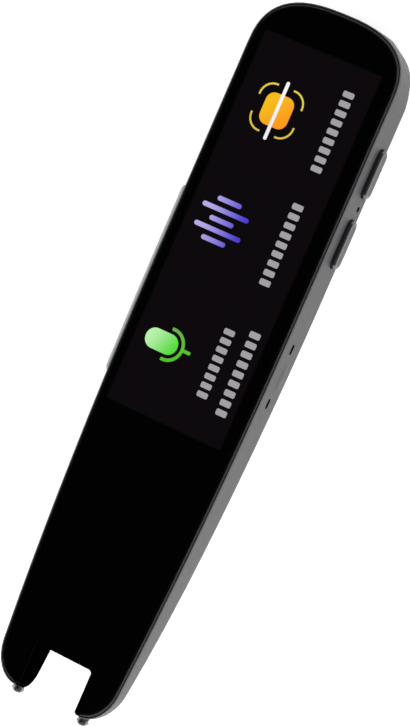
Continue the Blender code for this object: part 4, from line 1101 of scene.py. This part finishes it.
@dataclass
class ScreenPicture:
    """What the lit screen shows: three icons, each with plain bars in the place of its words.

    The bars and icons are thin films on the glass. A place on it is an X and a distance from the
    pen's top end, and an icon's own sizes are measured from its place.
    """

    glass_z: float = 12.0
    film: float = 0.02
    top_y: float = 77.925
    gloss: float = 0.05
    arc_step: float = 9.0
    scan_at: Pair = (-5.0, 23.6)
    tile_half: Pair = (3.25, 3.45)
    tile_corner: float = 1.9
    mark_at: Pair = (2.1, 2.2)
    mark_line: Pair = (2.9, 0.4)
    mark_sweep: float = 102.0
    line_half: Pair = (0.38, 6.4)
    line_corner: float = 0.36
    line_lift: float = 0.01
    sound_at: Pair = (-6.45, 48.9)
    wave_lengths: tuple[float, ...] = (5.7, 11.0, 5.7, 11.0, 5.7)
    wave_pitch: float = 2.15
    wave_half: float = 0.52
    wave_corner: float = 0.5
    voice_at: Pair = (-6.4, 76.4)
    capsule: Triple = (-5.5, 2.15, 2.2)
    capsule_corner: float = 2.15
    stand_line: Pair = (3.3, 0.7)
    stand_sweep: float = 196.0
    stem: Triple = (3.2, 5.3, 0.36)
    stem_corner: float = 0.3
    words: tuple[Triple, ...] = (
        (14.4, 32.8, 8.1),
        (39.4, 58.2, 7.7),
        (68.4, 84.3, 4.9),
        (66.8, 86.2, 10.3),
    )
    block_pitch: float = 2.1
    block_share: float = 0.62
    block_height: float = 2.5
    block_corner: float = 0.35

    def at(self, distance: float) -> float:
        """Give the Y of a distance from the pen's top end."""
        return self.top_y - distance

    def show(self, film: Workpiece, hue: str, colours: tuple[str, str], start: Pair, end: Pair) -> None:
        """Light a film with pixels and fit it to the screen.

        Args:
            film: The film.
            hue: The name of its colour.
            colours: The colours that it runs from and to.
            start: Where the run starts, in X and Y.
            end: Where it ends.
        """
        near, far = colours
        pixels = LitPixels(f"{hue} lit pixels", near, self.gloss, far, (*start, 0.0), (*end, 0.0))
        film.painted(pixels).fitted("body", "screen")

    def tablet(self, name: str, low: Pair, high: Pair, radius: float) -> Workpiece:
        """Make a flat film with round corners.

        Args:
            name: What it is called.
            low: Its lowest X and Y.
            high: Its highest X and Y.
            radius: The radius of its corners.

        Returns:
            The film, not yet painted.
        """
        bottom, top = self.glass_z - self.film, self.glass_z + self.film
        film = Workpiece.bar(name, (*low, bottom), (*high, top))
        return film.rounded(radius, 8, is_upright)

    def arc(self, name: str, centre: Pair, line: Pair, middle: float, sweep: float) -> Workpiece:
        """Spin a small section round a centre.

        Args:
            name: What it is called.
            centre: The arc's centre in X and Y.
            line: The radius of its middle line, and the line's width.
            middle: The heading of its middle, in degrees from +X.
            sweep: How far it turns, in degrees.

        Returns:
            The arc, not yet painted.
        """
        (x, y), (radius, width) = centre, line
        bottom, top = self.glass_z - self.film, self.glass_z + self.film
        near, far = x + radius - width / 2, x + radius + width / 2
        stroke = Workpiece.bar(name, (near, y - NEAR, bottom), (far, y + NEAR, top))
        pivot = mm(x, y, self.glass_z)
        stroke.edit(bpy.ops.mesh.delete, lambda place, normal: normal.y < ALONG, type="ONLY_FACE")
        stroke.edit(bpy.ops.mesh.delete, lambda place, heading: place.y < y, Element.VERTS, type="VERT")
        turn = Matrix.Rotation(radians(middle - sweep / 2), 4, "Z")
        stroke.thing.data.transform(Matrix.Translation(pivot) @ turn @ Matrix.Translation(-pivot))
        steps = max(int(abs(sweep) / self.arc_step), 4)
        path = {"angle": radians(sweep), "center": pivot, "axis": (0.0, 0.0, -1.0)}
        stroke.edit(bpy.ops.mesh.spin, steps=steps, **path)
        return stroke.edit(bpy.ops.mesh.normals_make_consistent, inside=False)

    def build(self) -> None:
        """Make every icon and bar of the picture."""
        self.scan_icon()
        self.sound_icon()
        self.voice_icon()
        self.word_bars()

    def scan_icon(self) -> None:
        """Make an orange tile in four corner marks, crossed by a white scanning line."""
        x, y = self.scan_at[0], self.at(self.scan_at[1])
        wide, long = self.tile_half
        tile = self.tablet("scan_tile", (x - wide, y - long), (x + wide, y + long), self.tile_corner)
        self.show(tile, "amber", ("#F5BF1C", "#FF9820"), (x - 3.0, y + 2.0), (x + 3.0, y - 3.0))
        marks = []
        for index, (side_x, side_y) in enumerate(((1, 1), (-1, 1), (-1, -1), (1, -1))):
            centre = (x + side_x * self.mark_at[0], y + side_y * self.mark_at[1])
            middle = 45.0 + 90.0 * index
            marks.append(self.arc(f"mark_{index}", centre, self.mark_line, middle, self.mark_sweep))
        corners = marks[0].joined(marks[1:], "scan_corner_marks")
        self.show(corners, "yellow", ("#E2CE4C", "#DCC048"), (x, y + 5.0), (x, y - 5.0))
        wide, long = self.line_half
        line = self.tablet("scan_line", (x - wide, y - long), (x + wide, y + long), self.line_corner)
        line.edit(bpy.ops.transform.translate, value=mm(0.0, 0.0, self.line_lift))
        self.show(line, "white", ("#FCFAFC", "#F3EEF3"), (x, y + 6.0), (x, y - 6.0))

    def sound_icon(self) -> None:
        """Make five round-ended bars of a sound wave, lavender to violet."""
        x, y = self.sound_at[0], self.at(self.sound_at[1])
        bars = []
        for index, length in enumerate(self.wave_lengths):
            middle = y + (2 - index) * self.wave_pitch
            low = (x - length / 2, middle - self.wave_half)
            high = (x + length / 2, middle + self.wave_half)
            bars.append(self.tablet(f"wave_{index}", low, high, self.wave_corner))
        wave = bars[0].joined(bars[1:], "sound_wave_bars")
        self.show(wave, "violet", ("#B9AEEB", "#4A3FD0"), (x - 5.5, y), (x + 5.5, y))

    def voice_icon(self) -> None:
        """Make a green capsule of a microphone in its stand."""
        x, y = self.voice_at[0], self.at(self.voice_at[1])
        left, right, half = self.capsule
        low, high = (x + left, y - half), (x + right, y + half)
        capsule = self.tablet("voice_capsule", low, high, self.capsule_corner)
        self.show(capsule, "green", ("#BFF3B0", "#52DD38"), (x - 5.5, y + 1.5), (x + 2.0, y - 1.5))
        stand = self.arc("voice_stand", (x, y), self.stand_line, 0.0, self.stand_sweep)
        left, right, half = self.stem
        low, high = (x + left, y - half), (x + right, y + half)
        stem = self.tablet("voice_stem", low, high, self.stem_corner)
        stand.joined([stem], "voice_stand")
        self.show(stand, "moss", ("#6DB04A", "#55C42C"), (x - 1.0, y + 3.5), (x + 4.0, y - 2.0))

    def word_bars(self) -> None:
        """Make rows of plain grey blocks where the screen has words."""
        blocks = []
        for start, end, x in self.words:
            count = round((end - start) / self.block_pitch)
            pitch = (end - start) / count
            low = (x - self.block_height / 2, self.at(start) - pitch * self.block_share)
            high = (x + self.block_height / 2, self.at(start))
            first = self.tablet("word_block", low, high, self.block_corner)
            blocks.append(first)
            for index in range(1, count):
                blocks.append(first.twin(f"block_{index}", (0.0, -index * pitch, 0.0)))
        plain = blocks[0].joined(blocks[1:], "word_blocks")
        self.show(plain, "grey", ("#A3A1A6", "#A3A1A6"), (0.0, 0.0), (0.0, 50.0))


@dataclass
class CoverGlass:
    """The black glass over the whole front, notched at the fork."""

    shrink: Triple = (0.9905, 0.9968, 1.0)
    fixed: Triple = (-10.6, 0.0, 12.0)
    fork: Pair = (8.2, -65.0)

    def build(self) -> None:
        """Draw a merged copy of the glass in a little, outside the fork, and dress it."""
        glass = Workpiece.copied("cover_glass", "printed_glass")
        glass.edit(
            bpy.ops.transform.resize,
            lambda place, normal: not in_fork(place, self.fork),
            Element.VERTS,
            value=self.shrink,
            center_override=mm(*self.fixed),
        )
        glass.smoothed(40.0).painted(COVER_GLASS)
        # Painted shade: the glass's sides and rounded edge are dull near-black.
        glass.painted(GLASS_EDGE_SHADE_PAINT, lambda place, normal: normal.z < ALONG)
        glass.fitted("body", "black_glass", ["cover_glass"])


@dataclass
class ForkTip:
    """The fork's black lining, and the two clear feet of the trigger with their springs."""

    travel: float = 0.6
    dome_radius: float = 1.4
    dome_height: float = 1.1
    step: float = 0.06
    neck_radius: float = 1.2
    foot_end: float = -77.925
    foot_top: float = -76.575
    edge: float = 0.04

    def build(self) -> None:
        """Make the lining, the feet and the springs."""
        lining = Workpiece.copied("tip_insert", "fork_lining").smoothed(30.0)
        lining.painted(LINING_PLASTIC).fitted("body", "black_plastic", ["tip_insert"])
        for node in ("left_foot", "right_foot"):
            self.foot(node)
        for node in ("left_spring", "right_spring"):
            self.spring(node)

    def spring(self, node: str) -> None:
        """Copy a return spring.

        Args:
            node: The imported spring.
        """
        spring = Workpiece.copied(node, f"{node}_wire").smoothed(50.0).painted(SPRING_STEEL)
        spring.fitted("body", "steel", [node])
        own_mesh(spring.thing)

    def foot(self, node: str) -> None:
        """Make one domed foot from half a flattened ball, drawn in to its neck round the pin.

        Args:
            node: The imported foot.
        """
        low, high = box_mm(node)
        x, y, z = (low.x + high.x) / 2, self.foot_end + self.dome_height, (low.z + high.z) / 2
        middle = mm(x, y, z)
        foot = Workpiece.ball(f"{node}_dome", (x, y, z), self.dome_radius)
        half = {"plane_co": middle, "plane_no": (0.0, 1.0, 0.0), "clear_outer": True}
        foot.edit(bpy.ops.mesh.bisect, use_fill=True, **half)
        flatten = (1.0, self.dome_height / self.dome_radius, 1.0)
        foot.edit(bpy.ops.transform.resize, value=flatten, center_override=middle)
        lid: Pick = lambda place, normal: normal.y > ALONG
        share = self.neck_radius / self.dome_radius
        step = {"value": mm(0.0, self.step, 0.0)}
        foot.edit(bpy.ops.mesh.extrude_region_move, lid, TRANSFORM_OT_translate=step)
        foot.edit(bpy.ops.transform.resize, lid, value=(share, 1.0, share), center_override=middle)
        rise = {"value": mm(0.0, self.foot_top - y - self.step, 0.0)}
        foot.edit(bpy.ops.mesh.extrude_region_move, lid, TRANSFORM_OT_translate=rise)
        foot.rounded(self.edge, 2, lambda place, heading: place.y > y - NEAR)
        foot.smoothed(40.0).painted(FOOT_PLASTIC).fitted("trigger", "clear_plastic", [node])


@dataclass
class InnerPieces:
    """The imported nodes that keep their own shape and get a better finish."""

    finishes: tuple[tuple[Finish, tuple[str, ...]], ...] = (
        (PANEL_GLASS, ("lcd_panel",)),
        (DIFFUSER, ("backlight",)),
        (LAMP, ("left_lamp", "right_lamp")),
        (MAGNESIUM, ("mid_frame",)),
        (BOARD, ("main_board", "sensor_board", "tip_board")),
        (STEEL, ("shield_can", "usb_c_shell", "microphone")),
        (SCREW_STEEL, ("screw_top_left", "screw_top_right", "screw_low_left", "screw_low_right")),
        (POUCH, ("battery",)),
        (BLACK_PLASTIC, ("trigger_yoke", "camera_housing", "speaker", "usb_c_tongue")),
        (BLACK_PLASTIC, ("power_switch", "home_switch", "trigger_switch")),
        (WINDOW_PLASTIC, ("scan_window",)),
        (LENS, ("camera_lens",)),
        (FILM, ("camera_flex",)),
    )

    def build(self) -> None:
        """Put each node's finish in its own material slots."""
        for finish, nodes in self.finishes:
            for node in nodes:
                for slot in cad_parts[node].material_slots:
                    slot.material = finish.material()
                LOG.info("%s: %s", node, finish.title)


@dataclass
class SpeakerPort:
    """The woven mesh behind the slots in the back."""

    centre_y: float = 25.925
    width: float = 9.4
    length: float = 11.2
    low: float = 1.32
    high: float = 1.46
    corner: float = 1.2
    edge: float = 0.05

    def build(self) -> None:
        """Make the mesh, rounded at its corners and pressed thin at its edge."""
        low = (-self.width / 2, self.centre_y - self.length / 2, self.low)
        high = (self.width / 2, self.centre_y + self.length / 2, self.high)
        mesh = Workpiece.bar("speaker_mesh", low, high)
        mesh.rounded(self.corner, 6, is_upright)
        mesh.eased(self.edge).smoothed(40.0).painted(MESH).fitted("body", "black_plastic")


@dataclass
class InletContacts:
    """Twelve gold contacts on each face of the charging inlet's tongue."""

    count: int = 12
    pitch: float = 0.5
    width: float = 0.26
    height: float = 0.04
    faces: Pair = (5.15, 5.85)
    start: float = 73.2
    end: float = 76.2
    edge: float = 0.015

    def build(self) -> None:
        """Make one contact and copy it along both faces."""
        x, z = -(self.count - 1) / 2 * self.pitch, self.faces[0]
        low = (x - self.width / 2, self.start, z - self.height / 2)
        high = (x + self.width / 2, self.end, z + self.height / 2)
        first = Workpiece.bar("inlet_contacts", low, high).eased(self.edge, 1)
        others = [
            first.twin(f"contact_{row}_{index}", (index * self.pitch, 0.0, face - z))
            for row, face in enumerate(self.faces)
            for index in range(self.count)
            if (row, index) != (0, 0)
        ]
        first.joined(others, "inlet_contacts").smoothed(40.0)
        first.painted(GOLD).fitted("body", "steel")


@dataclass
class Studio:
    """The floor, the dome of light, two soft lamps and the camera.

    Lamps and the floor are in metres, the dark part of the dome in degrees from its middle.
    """

    target: Triple = (0.322, 0.829, 6.0)
    distance: float = 639.4
    scale: float = 0.2070
    yaw: float = 21.234
    pitch: float = 3.003
    roll: float = 23.483
    floor_radius: float = 4.0
    floor_z: float = -0.00002
    dark_heading: Triple = (-0.36, -0.05, 0.93)
    dark_inner: float = 30.0
    dark_outer: float = 52.0
    lamps: tuple[tuple[str, Triple, float, float, float], ...] = (
        ("right_lamp_box", (0.54, -0.80, 0.33), 0.33, 0.26, 0.72),
        ("left_lamp_box", (-0.70, -0.40, 0.59), 1.6, 1.1, 7.0),
    )

    def build(self) -> None:
        """Set up the whole studio."""
        self.floor()
        self.dome()
        for settings in self.lamps:
            self.lamp(*settings)
        self.camera()

    def floor(self) -> None:
        """Lay the white sweep that the pen lies on."""
        Workpiece.clear()
        disc = {"radius": self.floor_radius, "location": (0.0, 0.0, self.floor_z)}
        bpy.ops.mesh.primitive_circle_add(vertices=96, fill_type="NGON", **disc)
        sweep = Workpiece(bpy.context.active_object).started("floor_sweep").painted(FLOOR)

    def dome(self) -> None:
        """Light the world evenly from the sides, and keep it dark where the glass mirrors it."""
        world = bpy.data.worlds.new("studio dome")
        bpy.context.scene.world = world
        world.use_nodes = True
        tree = world.node_tree
        towards = {
            0: add_node(tree, "TexCoord", give="Generated"),
            1: tuple(Vector(self.dark_heading).normalized()),
        }
        facing = add_node(tree, "VectorMath", towards, "Value", operation="DOT_PRODUCT")
        fade = {
            "Value": facing,
            "From Min": cos(radians(self.dark_outer)),
            "From Max": cos(radians(self.dark_inner)),
            "To Min": 1.0,
            "To Max": 0.01,
        }
        level = add_node(tree, "MapRange", fade, interpolation_type="SMOOTHSTEP")
        wire(tree, tree.nodes["Background"], {"Color": WHITE, "Strength": level})

    def lamp(self, name: str, heading: Triple, distance: float, size: float, power: float) -> None:
        """Hang a square soft lamp that looks at the pen and leaves no glare in the glass.

        Args:
            name: What it is called.
            heading: The direction that it hangs in.
            distance: How far away it is, in metres.
            size: The side of its square, in metres.
            power: Its power in watts.
        """
        Workpiece.clear()
        place = Vector(heading).normalized() * distance
        turn = place.to_track_quat("Z", "Y").to_euler()
        bpy.ops.object.light_add(type="AREA", location=place, rotation=turn)
        lamp = bpy.context.active_object
        lamp.name = name
        lamp.data.shape = "SQUARE"
        lamp.data.size = size
        lamp.data.energy = power
        lamp.visible_glossy = False

    def camera(self) -> None:
        """Place the camera where the photograph was taken from."""
        yaw, pitch, roll = (radians(angle) for angle in (self.yaw, self.pitch, self.roll))
        out = Vector((sin(yaw) * cos(pitch), sin(pitch), cos(yaw) * cos(pitch)))
        level = Vector((0.0, 1.0, 0.0)).cross(out).normalized()
        upright = out.cross(level)
        right = level * cos(roll) + upright * sin(roll)
        up = upright * cos(roll) - level * sin(roll)
        bpy.ops.object.camera_add(location=mm(*self.target) + out * self.distance * 0.001)
        camera = bpy.context.active_object
        camera.rotation_euler = Matrix((right, up, out)).transposed().to_euler()
        camera.data.sensor_width = SENSOR_LONG_SIDE
        camera.data.lens = SENSOR_LONG_SIDE * self.distance / self.scale / PHOTO_LONG_SIDE
        camera.data.clip_start = 0.01
        camera.data.clip_end = 50.0
        bpy.context.scene.camera = camera
        bpy.context.scene.view_settings.view_transform = "Standard"


def main() -> None:
    """Dress the pen, part by part, and set up the studio round it."""
    logging.basicConfig(level=logging.INFO, format="%(message)s")
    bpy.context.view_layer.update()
    parts = (Casing, CoverGlass, ScreenPicture, SideKeys, ForkTip, InnerPieces)
    for part in (*parts, SpeakerPort, InletContacts, Studio):
        part().build()


if __name__ == "__main__":
    main()
